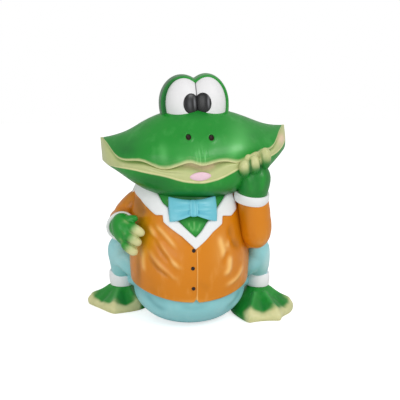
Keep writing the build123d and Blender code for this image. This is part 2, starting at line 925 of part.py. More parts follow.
# Arms, cuffs and hands
hand_places = {
    "left": (left_palm_shares, left_knuckle_shares, left_fingertip_shares),
    "right": (right_palm_shares, right_knuckle_shares, right_fingertip_shares),
}
hand_sizes = {
    "left": (left_hand_half_width, left_hand_half_thickness),
    "right": (right_hand_half_width, right_hand_half_thickness),
}


def palm_form(wrist, along, palm, knuckles, sizes):
    """The back of the hand, lofted through flattened ovals from the wrist to the knuckles."""
    middle = (knuckles[0] + knuckles[-1]) / 2
    across = (knuckles[-1] - knuckles[0]).normalized()
    facings = [along, (middle - wrist).normalized(), (middle - palm).normalized()]
    with BuildPart() as form:
        for centre, facing, shares in zip((wrist, palm, middle), facings, hand_section_shares):
            with BuildSketch(Plane(origin=centre, x_dir=across, z_dir=facing)):
                Ellipse(shares[0] * sizes[0], shares[1] * sizes[1])
        loft()
    return form.part


def finger_form(palm, knuckle, tip, index):
    """One plump finger, rooted inside the back of the hand."""
    size = 1 + index * finger_growth_share
    root = knuckle + (palm - knuckle) * finger_root_share
    return limb(root, tip, size * knuckle_radius, size * finger_radius, size * fingertip_radius)


sleeves, cuffs, hands, shoulder_lines = {}, {}, {}, {}
for side in ("left", "right"):
    shoulder, elbow, wrist = arm_places[side]
    arm_r, elbow_r, wrist_r = arm_radii[side]
    along = (wrist - elbow).normalized()
    cuff_end = wrist + along * (cuff_width / 2)
    cuff_start = wrist - along * (cuff_width / 2)
    bore = wrist_r - cuff_inset
    plug = bore - glue_gap
    with BuildPart() as sleeve:
        add(tapered_limb(elbow, wrist, elbow_r, wrist_r, sleeve_swell))
        add(side_of(Plane(origin=cuff_start - along * glue_gap, z_dir=along)), mode=Mode.SUBTRACT)
        add(tapered_limb(shoulder, elbow, arm_r, elbow_r * joint_share, sleeve_swell))
        add(rod(cuff_start - along * glue_gap, cuff_end, bore + cuff_wall + glue_gap), mode=Mode.SUBTRACT)
        add(rod(cuff_start - along * cuff_width, wrist - along * (glue_gap / 2), plug))
        add(jacket_seat, mode=Mode.SUBTRACT)
        add(head_seat, mode=Mode.SUBTRACT)
        add(dowel_hole(shoulder_dowels[side]), mode=Mode.SUBTRACT)
        add(dowel_hole(wrist_dowels[side]), mode=Mode.SUBTRACT)
    sleeves[side] = sleeve.part
    cuffs[side] = band(wrist, along, bore + cuff_wall, bore, cuff_width) - jacket_seat
    palm = place(hand_places[side][0])
    knuckles = [place(shares) for shares in hand_places[side][1]]
    tips = [place(shares) for shares in hand_places[side][2]]
    with BuildPart() as hand:
        add(palm_form(wrist, along, palm, knuckles, hand_sizes[side]))
        for index, (knuckle, tip) in enumerate(zip(knuckles, tips)):
            add(finger_form(palm, knuckle, tip, index))
        if side == "right":
            add(finger_form(palm, place(thumb_shares[0]), place(thumb_shares[1]), -1))
        add(side_of(Plane(origin=wrist + along * (glue_gap / 2), z_dir=-along)), mode=Mode.SUBTRACT)
        add(rod(wrist + along * (glue_gap / 2), cuff_end, plug))
        add(head_seat, mode=Mode.SUBTRACT)
        add(jacket_seat, mode=Mode.SUBTRACT)
        add(dowel_hole(wrist_dowels[side]), mode=Mode.SUBTRACT)
    hands[side] = hand.part

# Legs, trouser cuffs and feet
toes = {"left": (left_toe_shares, left_foot_reach), "right": (right_toe_shares, right_foot_reach)}
seat_cut = seat_form(-glue_gap, top=hem_height + glue_gap)
trouser_legs, trouser_cuffs, feet = {}, {}, {}
for side in ("left", "right"):
    ankle, knee, hip = leg_places[side]
    up = Vector(0, 0, 1)
    bore = ankle_radius - cuff_inset
    plug = bore - glue_gap
    cuff_top = ankle + up * (trouser_cuff_width / 2)
    with BuildPart() as leg:
        add(tapered_limb(knee, cuff_top, knee_radius, ankle_radius, leg_swell))
        split(bisect_by=Plane(origin=cuff_top + up * glue_gap, z_dir=up), keep=Keep.TOP)
        add(tapered_limb(hip, knee, hip_radius, knee_radius * joint_share, leg_swell))
        add(rod(ankle + up * (glue_gap / 2), cuff_top + up * (ankle_radius / 2), plug))
        add(jacket_seat, mode=Mode.SUBTRACT)
        add(seat_cut, mode=Mode.SUBTRACT)
        add(dowel_hole(hip_dowels[side]), mode=Mode.SUBTRACT)
        add(dowel_hole(ankle_dowels[side]), mode=Mode.SUBTRACT)
    trouser_legs[side] = leg.part
    trouser_cuffs[side] = band(ankle, up, bore + cuff_wall, bore, trouser_cuff_width)
    foot_height = ankle.Z - trouser_cuff_width / 2 - glue_gap
    with BuildPart() as foot:
        add(foot_form(ankle, *toes[side], foot_height))
        add(rod(Vector(ankle.X, ankle.Y, foot_height / 2), ankle - up * (glue_gap / 2), plug))
        add(seat_cut, mode=Mode.SUBTRACT)
        add(dowel_hole(ankle_dowels[side]), mode=Mode.SUBTRACT)
    feet[side] = foot.part

# Every piece not yet written
save("seat_shell", seat)
save("base_plate", plate)
save("chest_and_neck", chest)
save("lapel_left", lapel_left)
save("lapel_right", lapel_right)
save("collar_stand", collar)
save("jacket_buttons", jacket_buttons.part)
save("bow_tie_knot", knot)
save("bow_tie_wing_left", bow_wings["left"])
save("bow_tie_wing_right", bow_wings["right"])
save("upper_head", upper_head.part)
save("lower_jaw", lower_jaw.part)
save("mouth_lining", mouth_lining.part)
save("tongue", tongue.part)
save("eye_hood", eye_hood.part)
for side in ("left", "right"):
    save(f"{side}_eyeball", eyeballs[side])
    save(f"{side}_pupil", pupils[side])
    save(f"{side}_sleeve", sleeves[side])
    save(f"{side}_cuff", cuffs[side])
    save(f"{side}_hand", hands[side])
    save(f"{side}_trouser_leg", trouser_legs[side])
    save(f"{side}_trouser_cuff", trouser_cuffs[side])
    save(f"{side}_foot", feet[side])
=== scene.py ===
import json
import math

import bmesh
import bpy
import numpy as np
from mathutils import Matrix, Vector


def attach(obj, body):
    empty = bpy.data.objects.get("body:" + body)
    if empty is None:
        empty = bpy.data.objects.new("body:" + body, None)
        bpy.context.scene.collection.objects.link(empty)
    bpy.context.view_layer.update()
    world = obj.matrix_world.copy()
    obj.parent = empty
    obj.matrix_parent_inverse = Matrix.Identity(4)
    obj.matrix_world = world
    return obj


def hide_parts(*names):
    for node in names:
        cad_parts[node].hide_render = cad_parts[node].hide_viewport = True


# The frog figurine's painted skin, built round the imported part.
# +X is the side of the raised arm, -Y the way the frog faces, +Z up. Shapes are worked out in
# millimetres, as the part is, and each finished mesh is written in metres.

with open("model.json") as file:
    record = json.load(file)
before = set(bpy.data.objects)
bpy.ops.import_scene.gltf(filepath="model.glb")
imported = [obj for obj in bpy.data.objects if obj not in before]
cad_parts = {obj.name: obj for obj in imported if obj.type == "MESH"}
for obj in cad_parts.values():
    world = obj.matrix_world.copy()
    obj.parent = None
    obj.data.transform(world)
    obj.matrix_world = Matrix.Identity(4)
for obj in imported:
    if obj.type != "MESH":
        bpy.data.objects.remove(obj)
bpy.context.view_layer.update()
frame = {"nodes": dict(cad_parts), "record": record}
cad_nodes = frame["nodes"]
mm = 0.001
root = "root"
weld_distance = 1e-6
path_samples = 28


def through(knots, at):
    """A natural cubic through knots (first column the parameter): the second slopes solve the usual
    three-term equations, so the curve passes every knot and has no kink."""
    knots = np.asarray(knots, float)
    place, value = knots[:, 0], knots[:, 1:]
    step = np.diff(place)
    slope = np.diff(value, axis=0) / step[:, None]
    inner = np.arange(1, len(place) - 1)
    weights = np.eye(len(place))
    weights[inner, inner - 1] = step[:-1]
    weights[inner, inner] = 2 * (step[:-1] + step[1:])
    weights[inner, inner + 1] = step[1:]
    turn = np.zeros_like(value)
    turn[1:-1] = 6 * np.diff(slope, axis=0)
    bend = np.linalg.solve(weights, turn)
    at = np.clip(at, place[0], place[-1])
    span = np.clip(np.searchsorted(place, at, side="right") - 1, 0, len(step) - 1)
    run = (at - place[span])[..., None]
    width = step[span][..., None]
    first = slope[span] - width * (2 * bend[span] + bend[span + 1]) / 6
    cubic = run**3 * (bend[span + 1] - bend[span]) / (6 * width)
    return value[span] + run * first + run**2 * bend[span] / 2 + cubic


def round_and_round(knots):
    """The same closed ring of knots three times over, so that a curve through them closes smoothly."""
    knots = np.asarray(knots, float)
    place = np.arange(-len(knots), 2 * len(knots) + 1)
    return np.column_stack([place, np.vstack([knots, knots, knots, knots[:1]])])


def soft_step(low, high, at):
    """0 below low, 1 above high and the cubic 3t^2 - 2t^3 between."""
    share = np.clip((at - low) / (high - low), 0, 1)
    return share**2 * (3 - 2 * share)


def bell(*terms):
    """The bell-shaped weight exp(-sum (gap / width)^2) of gaps and widths given in turn."""
    return np.exp(-sum((gap / width) ** 2 for gap, width in zip(terms[::2], terms[1::2])))


def blob(points, centre, size):
    """The same weight round a point in space, falling off by a size along each axis."""
    return np.exp(-np.sum(((points - np.array(centre)) / np.array(size)) ** 2, axis=-1))


def unit(vectors):
    """Vectors scaled to length one."""
    return vectors / np.maximum(np.linalg.norm(vectors, axis=-1, keepdims=True), 1e-9)


def normals_of(points):
    """The outward direction on a grid whose last column meets its first: the cross product of its
    steps along columns and rows."""
    across = np.roll(points, -1, axis=1) - np.roll(points, 1, axis=1)
    return unit(np.cross(across, np.gradient(points, axis=0)))


def near(points, path):
    """Each point's distance from a smooth path through places, and its share of the way along it:
    the point is dropped squarely on to every short run of the path and the least distance kept."""
    knots = np.column_stack([np.linspace(0, 1, len(path)), np.asarray(path, float)])
    line = through(knots, np.linspace(0, 1, path_samples))
    start, run = line[:-1], np.diff(line, axis=0)
    flat = points.reshape(-1, 1, points.shape[-1])
    share = np.sum((flat - start) * run, axis=-1) / np.sum(run * run, axis=-1)
    share = np.clip(share, 0, 1)
    gap = np.linalg.norm(flat - start - share[..., None] * run, axis=-1)
    best = np.argmin(gap, axis=1)
    rows = np.arange(len(best))
    along = (best + share[rows, best]) / (path_samples - 1)
    return gap[rows, best].reshape(points.shape[:-1]), along.reshape(points.shape[:-1])


def crease(points, path, width, fade=0.3):
    """A bell-shaped weight round a path, exp(-(distance / width)^2), that fades out at its ends."""
    gap, along = near(points, path)
    return bell(gap, width) * (soft_step(0, fade, along) * soft_step(0, fade, 1 - along))


# Meshes


def sheet(points, around=True, **masks):
    """A grid of points with its masks. Its last column joins its first unless around is False."""
    return {"points": points, "around": around, "masks": masks}


def mesh_of(name, parts):
    """One mesh from sheets: each grid's corners become quads, doubles at seams and poles are merged
    and faces are turned outwards."""
    places, faces, masks, start = [], [], {}, 0
    for part in parts:
        points = part["points"]
        rows, columns = points.shape[:2]
        index = np.arange(rows * columns).reshape(rows, columns) + start
        if part["around"]:
            index = np.hstack([index, index[:, :1]])
        quads = np.stack([index[:-1, :-1], index[:-1, 1:], index[1:, 1:], index[1:, :-1]], axis=-1)
        faces.append(quads.reshape(-1, 4))
        places.append(points.reshape(-1, 3))
        for key, values in part["masks"].items():
            masks.setdefault(key, {})[start] = np.broadcast_to(values, (rows, columns)).ravel()
        start += rows * columns
    mesh = bpy.data.meshes.new(name)
    mesh.from_pydata((np.vstack(places) * mm).tolist(), [], np.vstack(faces).tolist())
    for key, pieces in masks.items():
        values = np.zeros(start, np.float32)
        for first, part_values in pieces.items():
            values[first : first + len(part_values)] = part_values
        mesh.attributes.new(key, "FLOAT", "POINT").data.foreach_set("value", values)
    shape = bmesh.new()
    shape.from_mesh(mesh)
    bmesh.ops.remove_doubles(shape, verts=shape.verts, dist=weld_distance)
    bmesh.ops.dissolve_degenerate(shape, dist=weld_distance / 10, edges=shape.edges)
    bmesh.ops.recalc_face_normals(shape, faces=shape.faces)
    shape.to_mesh(mesh)
    shape.free()
    return mesh


def write_piece(name, parts, slot, *replaced, paint=None):
    """One finished piece from sheets."""
    return finish_piece(name, mesh_of(name, parts), slot, *replaced, paint=paint)


def finish_piece(name, mesh, slot, *replaced, paint=None):
    """Smooth shading, the slot's paint unless another is given, the tie to the root body and the
    CAD nodes the piece stands for."""
    mesh.shade_smooth()
    mesh.materials.clear()
    mesh.materials.append(paint or paints_by_slot[slot])
    piece = bpy.data.objects.new(name, mesh)
    bpy.context.scene.collection.objects.link(piece)
    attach(piece, root)
    if replaced:
        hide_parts(*replaced)
    return piece


# Paints


def tone(red, green, blue):
    """A paint-chart colour in 8-bit steps as linear light."""
    share = np.array([red, green, blue]) / 255
    linear = np.where(share <= 0.04045, share / 12.92, ((share + 0.055) / 1.055) ** 2.4)
    return (*linear.tolist(), 1.0)


class PaintMix:
    """A node material built up coat by coat on the figurine's own coordinates."""

    def __init__(self, name):
        self.material = bpy.data.materials.new(name)
        self.material.use_nodes = True
        self.tree = self.material.node_tree
        self.shader = self.tree.nodes["Principled BSDF"]
        self.place = self.add("ShaderNodeTexCoord").outputs["Object"]

    def add(self, kind, **settings):
        made = self.tree.nodes.new(kind)
        for key, value in settings.items():
            setattr(made, key, value)
        return made

    def feed(self, socket, source):
        if isinstance(source, bpy.types.NodeSocket):
            self.tree.links.new(source, socket)
        else:
            socket.default_value = source

    def cloud(self, scale, detail, stretch=(1, 1, 1), shift=(0, 0, 0)):
        """Soft noise, scale in waves per metre, stretched along the axes."""
        laid = self.add("ShaderNodeMapping")
        self.feed(laid.inputs["Vector"], self.place)
        laid.inputs["Scale"].default_value = stretch
        laid.inputs["Location"].default_value = shift
        noise = self.add("ShaderNodeTexNoise")
        self.feed(noise.inputs["Vector"], laid.outputs["Vector"])
        noise.inputs["Scale"].default_value = scale
        noise.inputs["Detail"].default_value = detail
        return noise.outputs["Fac"]

    def sum(self, operation, first, second):
        made = self.add("ShaderNodeMath", operation=operation)
        self.feed(made.inputs[0], first)
        self.feed(made.inputs[1], second)
        return made.outputs["Value"]

    def spread(self, source, low, high, out_low=0.0, out_high=1.0):
        """Source from low..high carried smoothly on to out_low..out_high."""
        made = self.add("ShaderNodeMapRange", interpolation_type="SMOOTHSTEP")
        self.feed(made.inputs["Value"], source)
        made.inputs["From Min"].default_value = low
        made.inputs["From Max"].default_value = high
        made.inputs["To Min"].default_value = out_low
        made.inputs["To Max"].default_value = out_high
        return made.outputs["Result"]

    def mask(self, key):
        return self.add("ShaderNodeAttribute", attribute_name=key).outputs["Fac"]

    def over(self, below, above, share):
        """The second colour laid over the first by a share."""
        made = self.add("ShaderNodeMix", data_type="RGBA")
        self.feed(made.inputs["Factor"], share)
        self.feed(made.inputs["A"], below)
        self.feed(made.inputs["B"], above)
        return made.outputs["Result"]

    def finish(self, colour, rough, coat=0.0, grain=0.25, dents=0.15):
        """Colour, uneven sheen and a fine cast grain with brush dents under the paint."""
        self.feed(self.shader.inputs["Base Color"], colour)
        uneven = self.cloud(140.0, 2.0, shift=(0.3, 0.1, 0.7))
        sheen = self.spread(uneven, 0.25, 0.75, rough - 0.06, rough + 0.08)
        self.feed(self.shader.inputs["Roughness"], sheen)
        self.shader.inputs["Coat Weight"].default_value = coat
        self.shader.inputs["Coat Roughness"].default_value = 0.22
        self.shader.inputs["Specular IOR Level"].default_value = 0.32
        fine = self.sum("MULTIPLY", self.cloud(900.0, 2.0), grain)
        height = self.sum("ADD", fine, self.sum("MULTIPLY", self.cloud(110.0, 3.0), dents * 6))
        relief = self.add("ShaderNodeBump")
        relief.inputs["Strength"].default_value = 0.25
        relief.inputs["Distance"].default_value = 0.0006
        self.feed(relief.inputs["Height"], height)
        self.feed(self.shader.inputs["Normal"], relief.outputs["Normal"])
        return self.material


def airbrushed(name, base, dark, light, rough=0.36, coat=0.12, second=(), **texture):
    """Satin paint: a base coat, broad darker and lighter clouds, and painted shade and highlight
    from the mask "shade": below zero darkens as painted shade, above lightens as painted highlight.
    Each second coat is a mask with its colour and shadow, and the painted shade darkens it towards that
    shadow. Colours are given in 8-bit steps."""
    base, dark, light = tone(*base), tone(*dark), tone(*light)
    paint = PaintMix(name)
    clouds = paint.cloud(22.0, 2.0)
    streaks = paint.cloud(60.0, 3.0, stretch=(1.0, 1.0, 0.35), shift=(1, 2, 3))
    colour = paint.over(base, dark, paint.spread(clouds, 0.55, 0.85, 0.0, 0.45))
    colour = paint.over(colour, light, paint.spread(streaks, 0.52, 0.80, 0.0, 0.22))
    # the mask "shade" carries painted shade (below zero) and painted highlight (above zero)
    shade = paint.mask("shade")
    colour = paint.over(colour, dark, paint.spread(paint.sum("MULTIPLY", shade, -1.0), 0.0, 1.0))
    colour = paint.over(colour, light, paint.spread(shade, 0.0, 1.0, 0.0, 0.9))
    for key, coat_colour, coat_shadow in second:
        coat_colour, coat_shadow = tone(*coat_colour), tone(*coat_shadow)
        drift = paint.sum("SUBTRACT", paint.cloud(90.0, 3.0, shift=(4, 5, 6)), 0.5)
        drift = paint.sum("MULTIPLY", drift, 0.35)
        sprayed = paint.spread(paint.sum("ADD", paint.mask(key), drift), 0.02, 0.98)
        patches = paint.spread(paint.cloud(45.0, 2.0, shift=(7, 8, 9)), 0.5, 0.8, 0.0, 0.5)
        tint = paint.over(coat_colour, coat_shadow, patches)
        # painted shade: the second coat darkens towards its shadow colour where "shade" is below zero
        sunk = paint.spread(paint.sum("MULTIPLY", shade, -1.0), 0.0, 1.0, 0.0, 0.85)
        tint = paint.over(tint, coat_shadow, sunk)
        colour = paint.over(colour, tint, sprayed)
    return paint.finish(colour, rough, coat, **texture)


def drawn_steel():
    """Drawn rod: a grey metal with fine lines along it."""
    paint = PaintMix("drawn_steel")
    lines = paint.cloud(1500.0, 2.0, stretch=(1.0, 1.0, 0.05))
    colour = paint.over(tone(150, 152, 156), tone(186, 188, 192), paint.spread(lines, 0.35, 0.65))
    paint.shader.inputs["Metallic"].default_value = 1.0
    return paint.finish(colour, 0.3, grain=0.1)


paints_by_slot = {
    "green_skin": airbrushed(
        "satin_green_paint", (24, 140, 42), (10, 88, 36), (100, 192, 104),
        second=[("cream", (216, 214, 158), (168, 178, 112)), ("pit", (44, 24, 22), (20, 12, 10))],
    ),
    "orange_cloth": airbrushed(
        "satin_orange_paint", (212, 127, 2), (170, 103, 0), (255, 206, 124),
        second=[("overspray", (222, 164, 20), (188, 148, 20))],
    ),
    "white_trim": airbrushed(
        "satin_white_paint", (232, 234, 234), (196, 204, 206), (246, 246, 248), rough=0.42
    ),
    "blue_trousers": airbrushed(
        "satin_sky_blue_paint", (146, 208, 212), (104, 168, 174), (190, 228, 228)
    ),
    "blue_bow": airbrushed("satin_bow_blue_paint", (108, 192, 208), (62, 150, 178), (168, 222, 232)),
    "cream_mouth": airbrushed(
        "satin_cream_paint", (190, 197, 136), (120, 156, 84), (232, 226, 188),
        second=[("blush", (234, 202, 178), (220, 184, 150))],
    ),
    "pink_tongue": airbrushed("satin_pink_paint", (234, 200, 212), (216, 172, 190), (244, 220, 228)),
    "eye_white": airbrushed(
        "gloss_white_paint", (230, 229, 230), (212, 213, 216), (240, 240, 242), rough=0.5, coat=0.0,
        # line: painted shade, a dark line in the crease between the eyes
        second=[("line", (66, 62, 66), (40, 38, 42))],
    ),
    # gloss_black's light tone is the painted highlight on the pupils
    "gloss_black": airbrushed(
        "gloss_black_paint", (20, 20, 22), (8, 8, 10), (120, 120, 124),
        rough=0.34, coat=0.3, grain=0.05, dents=0.05,
    ),
    "plain_resin": airbrushed(
        "bare_casting_resin", (214, 206, 188), (186, 176, 156), (230, 224, 208), rough=0.6, coat=0.0
    ),
    "dowel_steel": drawn_steel(),
}
button_paint = airbrushed(
    "satin_black_paint", (26, 22, 24), (12, 10, 12), (70, 66, 70),
    rough=0.45, coat=0.0, grain=0.05, dents=0.05,
)


# Head: a wide lens, given station by station across its width in its own tilted frame

head_origin = np.array([10.0, 0.0, 262.0])
head_roll = math.radians(-3.5)
head_turn = math.radians(-2.5)
head_half_width = 139.0
head_height = 120.0
corner_behind = 20.0
snout_reach = 107.0
crown_reach = 55.0
corner_half_depth = 9.0
corner_round = 0.06
head_stations = [
    # place across, then top, bottom and middle as shares of the head's height
    (-1.00, 0.150, -0.128, 0.008),
    (-0.93, 0.160, -0.184, -0.017),
    (-0.83, 0.182, -0.258, -0.067),
    (-0.70, 0.228, -0.370, -0.117),
    (-0.55, 0.312, -0.480, -0.167),
    (-0.40, 0.382, -0.558, -0.208),
    (-0.20, 0.432, -0.606, -0.228),
    (0.00, 0.440, -0.622, -0.233),
    (0.20, 0.418, -0.606, -0.228),
    (0.40, 0.356, -0.558, -0.208),
    (0.55, 0.288, -0.480, -0.167),
    (0.70, 0.214, -0.362, -0.117),
    (0.83, 0.172, -0.248, -0.067),
    (0.93, 0.156, -0.160, -0.017),
    (1.00, 0.150, -0.100, 0.010),
]
head_ring = round_and_round(
    [
        # depth from the snout, and rise above (+) or drop below (-) the mouth middle
        (0.000, 0.00), (0.060, 0.45), (0.260, 0.90), (0.550, 1.00), (0.920, 0.62), (1.000, 0.08),
        (0.880, -0.60), (0.450, -1.00), (0.085, -0.76),
    ]
)
upper_lip = [
    # place across and height, as shares of the head's half width and height
    (-1.00, 0.185), (-0.970, 0.155), (-0.900, 0.071), (-0.840, -0.020), (-0.780, -0.063),
    (-0.670, -0.070), (-0.550, -0.086), (-0.455, -0.139), (-0.360, -0.170), (-0.265, -0.153),
    (-0.165, -0.119), (-0.095, -0.114), (-0.030, -0.142), (0.030, -0.152), (0.100, -0.138),
    (0.175, -0.125), (0.275, -0.135), (0.365, -0.158), (0.455, -0.133), (0.555, -0.098),
    (0.630, -0.063), (0.750, -0.050), (0.820, 0.019), (0.875, 0.091), (0.955, 0.158),
    (1.000, 0.190),
]
lower_lip = [
    (-1.000, -0.125), (-0.960, -0.150), (-0.840, -0.172), (-0.675, -0.187), (-0.555, -0.215),
    (-0.435, -0.242), (-0.320, -0.279), (-0.200, -0.324), (-0.080, -0.351), (0.015, -0.358),
    (0.115, -0.344), (0.215, -0.313), (0.290, -0.278), (0.380, -0.235), (0.540, -0.190),
    (0.710, -0.164), (0.810, -0.135), (0.905, -0.075), (0.965, 0.014), (1.000, 0.120),
]
jaw_seam = -3.2
crown_seam = 9 + jaw_seam


def to_body(points):
    """Points of the head's frame rolled, turned and carried to the head's place on the body."""
    cos_roll, sin_roll = math.cos(head_roll), math.sin(head_roll)
    cos_turn, sin_turn = math.cos(head_turn), math.sin(head_turn)
    rolled = np.array([[cos_roll, 0, sin_roll], [0, 1, 0], [-sin_roll, 0, cos_roll]])
    turned = np.array([[cos_turn, -sin_turn, 0], [sin_turn, cos_turn, 0], [0, 0, 1]])
    return points @ (rolled @ turned).T + head_origin


def head_skin(across, ring):
    """The head's surface: at each place across, the closed ring curve scaled by that station's top,
    bottom, reach = corner + (snout - corner)(1 - x^2)^0.62 and crown = corner + ...(1 - x^2)^0.5,
    with the last few percent at each corner rounded down to a line by a quarter circle."""
    level = through(head_stations, across)
    top, bottom, middle = level[..., 0], level[..., 1], level[..., 2]
    side = np.clip(1 - across**2, 0, 1)
    reach = corner_half_depth + (snout_reach - corner_half_depth) * side**0.62
    crown = corner_half_depth + (crown_reach - corner_half_depth) * side**0.50
    into_corner = np.clip((np.abs(across) - 1 + corner_round) / corner_round, 0, 1)
    rounding = np.sqrt(np.clip(1 - into_corner**2, 0, 1))
    shape = through(head_ring, ring)
    depth, height = shape[..., 0], shape[..., 1]
    upper_half = soft_step(-0.3, 0.3, height)
    span = (top - middle) * upper_half + (middle - bottom) * (1 - upper_half)
    y = corner_behind + (depth * (reach + crown) - reach) * rounding
    z = head_height * (middle + height * span)
    points = np.stack([across * head_half_width + 0 * y, y, z], axis=-1)
    return face_forms(points)


def face_forms(points):
    """Soft forms on the face: each is a push in a direction under a bell-shaped weight."""
    x, z = points[..., 0], points[..., 2]
    front = 1 - soft_step(-30, 10, points[..., 1])
    moved = points.copy()
    for centre, size, push in face_bulges:
        moved += blob(points, centre, size)[..., None] * np.array(push)
    pucker = bell(x + 1.5, 8.5) * bell(z + 8, 10) * front
    moved[..., 1] += 0.75 * np.cos((x + 1.5) * 2 * np.pi / 5.0) * pucker
    pit = nostril_reach(x, z)
    sunk = nostril_depth * (1 - soft_step(0.45, 1.05, pit))
    rim = 0.6 * bell(pit - 1.35, 0.35)
    moved[..., 1] += (sunk - rim) * front
    return moved


def nostril_reach(x, z):
    """Distance from the nearer nostril's middle, 1 at its edge."""
    gaps = [np.hypot(x - side, z - rise) / nostril_radius for side, rise in nostrils]
    return np.minimum(*gaps)


nostrils = [(-14.6, 18.4), (16.7, 15.6)]
nostril_radius = 4.2
nostril_depth = 3.6
face_bulges = [
    # centre, size and push in the head's frame
    ((2, -42, 50), (30, 26, 18), (0, -2, 1.4)),
    ((-62, -62, 2), (26, 40, 22), (0, -4, 1)),
    ((60, -62, 4), (26, 40, 22), (0, -4, 1)),
    ((3, -90, -6), (16, 40, 16), (0, -3, 0)),
    ((-16, -84, 20), (9, 30, 9), (0, -2, 1)),
    ((21, -84, 20), (9, 30, 9), (0, -2, 1)),
]


def ring_at(across, wanted, top, steps):
    """Where round each ring the skin reaches a wanted height: read between the two samples of a fine
    ladder up the front that lie either side of it."""
    ladder = np.linspace(-2.2, top, steps)
    heights = head_skin(across[:, None] + 0 * ladder, ladder + 0 * across[:, None])[..., 2]
    below = np.clip(np.sum(heights < wanted[:, None], axis=1), 1, steps - 1)
    rows = np.arange(len(across))
    low, high = heights[rows, below - 1], heights[rows, below]
    share = np.clip((wanted - low) / np.maximum(high - low, 1e-6), 0, 1)
    return ladder[below - 1] + share * (ladder[1] - ladder[0])


def lip_place(across, line):
    """Where round each ring the skin reaches the lip line's height."""
    return ring_at(across, through(line, across)[..., 0] * head_height, 3.0, 400)


def corner_share(across):
    """1 over the head's middle, falling by a quarter circle to nothing at the corners."""
    return np.sqrt(np.clip(1 - np.abs(across) ** 6, 0, 1))


def lip_roll(edge, across, radius, depth, upwards):
    """The lip turned inwards: a quarter circle about a line just behind the edge, then straight back
    into the mouth. The last column is the edge itself, so that it joins the skin."""
    side = 1 if upwards else -1
    turn = np.linspace(np.pi / 2, 0, 7)
    scale = corner_share(across)[:, None]
    inward = np.concatenate([np.linspace(depth, 0, 5)[:-1], np.zeros(7)])
    turns = np.concatenate([np.full(4, np.pi / 2), turn])
    y = edge[:, None, 1] + (radius * (1 - np.cos(turns)) + inward) * scale
    z = edge[:, None, 2] + side * radius * np.sin(turns) * scale
    return np.stack([edge[:, None, 0] + 0 * y, y, z], axis=-1)


cheek_places = 1 - (1 - 0.2) * np.linspace(0, 1, 90)[::-1] ** 0.9
head_places = np.concatenate([-cheek_places[::-1], np.linspace(-0.2, 0.2, 120)[1:-1], cheek_places])
lip_radius = 1.9
upper_edge = lip_place(head_places, upper_lip)
lower_edge = lip_place(head_places, lower_lip)
upper_edge = np.maximum(upper_edge, lower_edge + 0.02)
easing = [np.linspace(0, 0.115, 20)[:-1], np.linspace(0.115, 0.24, 40)[:-1], np.linspace(0.24, 1, 74)]
easing = np.concatenate(easing)


def head_half(edge, seam, upwards):
    """Half the head's skin from its lip, rolled inwards, round to the seam behind."""
    ring = edge[:, None] + (seam - edge[:, None]) * easing
    skin = head_skin(head_places[:, None] + 0 * ring, ring)
    roll = lip_roll(skin[:, 0], head_places, lip_radius, 11.0, upwards)
    return np.concatenate([roll[:, :-1], skin], axis=1)


def head_shade(points):
    """Painted shade and highlight: painted shade under the chin, behind the brow, at the -X corner and
    over the -X side of the chin; painted highlights over the snout and cheeks and in fine streaks above the
    upper lip.
    """
    x, y, z = points[..., 0], points[..., 1], points[..., 2]
    under = 1 - soft_step(-74, -40, z)
    light = 0.45 * bell(x - 58, 22, z - 14, 26) * (y < 0)
    light += 0.5 * bell(x - 49 - 0.5 * z, 10, z + 3, 10) * (y < 0)
    light += 0.42 * bell(x + 51, 7, z + 2, 15) * (y < 0)
    light += 0.30 * bell(x + 29, 7, z + 10, 6) * (y < 0)
    for side in (-5.5, -1.5, 5.0):
        light += 0.75 * bell(x - side, 0.9, z + 8, 7) * (y < 0)
    light += 0.35 * bell(x, 26, z + 9, 9) * (y < 0)
    light += 0.30 * bell(x, 60, z - 4, 12) * (y < 0)
    dark = 0.45 * bell(x + 105, 30, z - 6, 16)
    dark += 0.35 * bell(x - 4, 26, z - 46, 7) * (y < -10)
    dark += 0.55 * bell(x + 66, 40, z + 40, 16)
    return light - dark - 0.8 * under


upper_points = head_half(upper_edge, crown_seam, False)
lower_points = head_half(lower_edge, jaw_seam, True)
edge_columns = 10
upper_cream = np.zeros(upper_points.shape[:2])
upper_cream[:, :6] = 1.0
upper_cream[:, 6:edge_columns] = 0.85
# the cream fading out over the lip's rolled edge and on to the skin beside it is the lips' cream paint and
# also a painted highlight along the edge
upper_cream[:, edge_columns : edge_columns + 4] = np.array([0.7, 0.55, 0.38, 0.2])
edge_fade = 0.16 * bell(head_places[:, None] * 139, 60)
upper_cream[:, edge_columns + 4 : edge_columns + 7] = edge_fade
upper_pit = 1 - soft_step(0.7, 1.05, nostril_reach(upper_points[..., 0], upper_points[..., 2]))
upper_pit = upper_pit * (upper_points[..., 1] < -20)
lower_cream = np.zeros(lower_points.shape[:2])
lower_cream[:, : edge_columns + 1] = 0.9
lower_cream[:, edge_columns + 1 : edge_columns + 4] = np.array([0.75, 0.5, 0.2])
write_piece(
    "upper_head_skin",
    [
        sheet(
            to_body(upper_points),
            around=False,
            cream=upper_cream,
            shade=head_shade(upper_points),
            pit=upper_pit,
        )
    ],
    "green_skin",
    "upper_head",
)
write_piece(
    "lower_jaw_skin",
    [sheet(to_body(lower_points), around=False, cream=lower_cream, shade=head_shade(lower_points))],
    "green_skin",
    "lower_jaw",
)


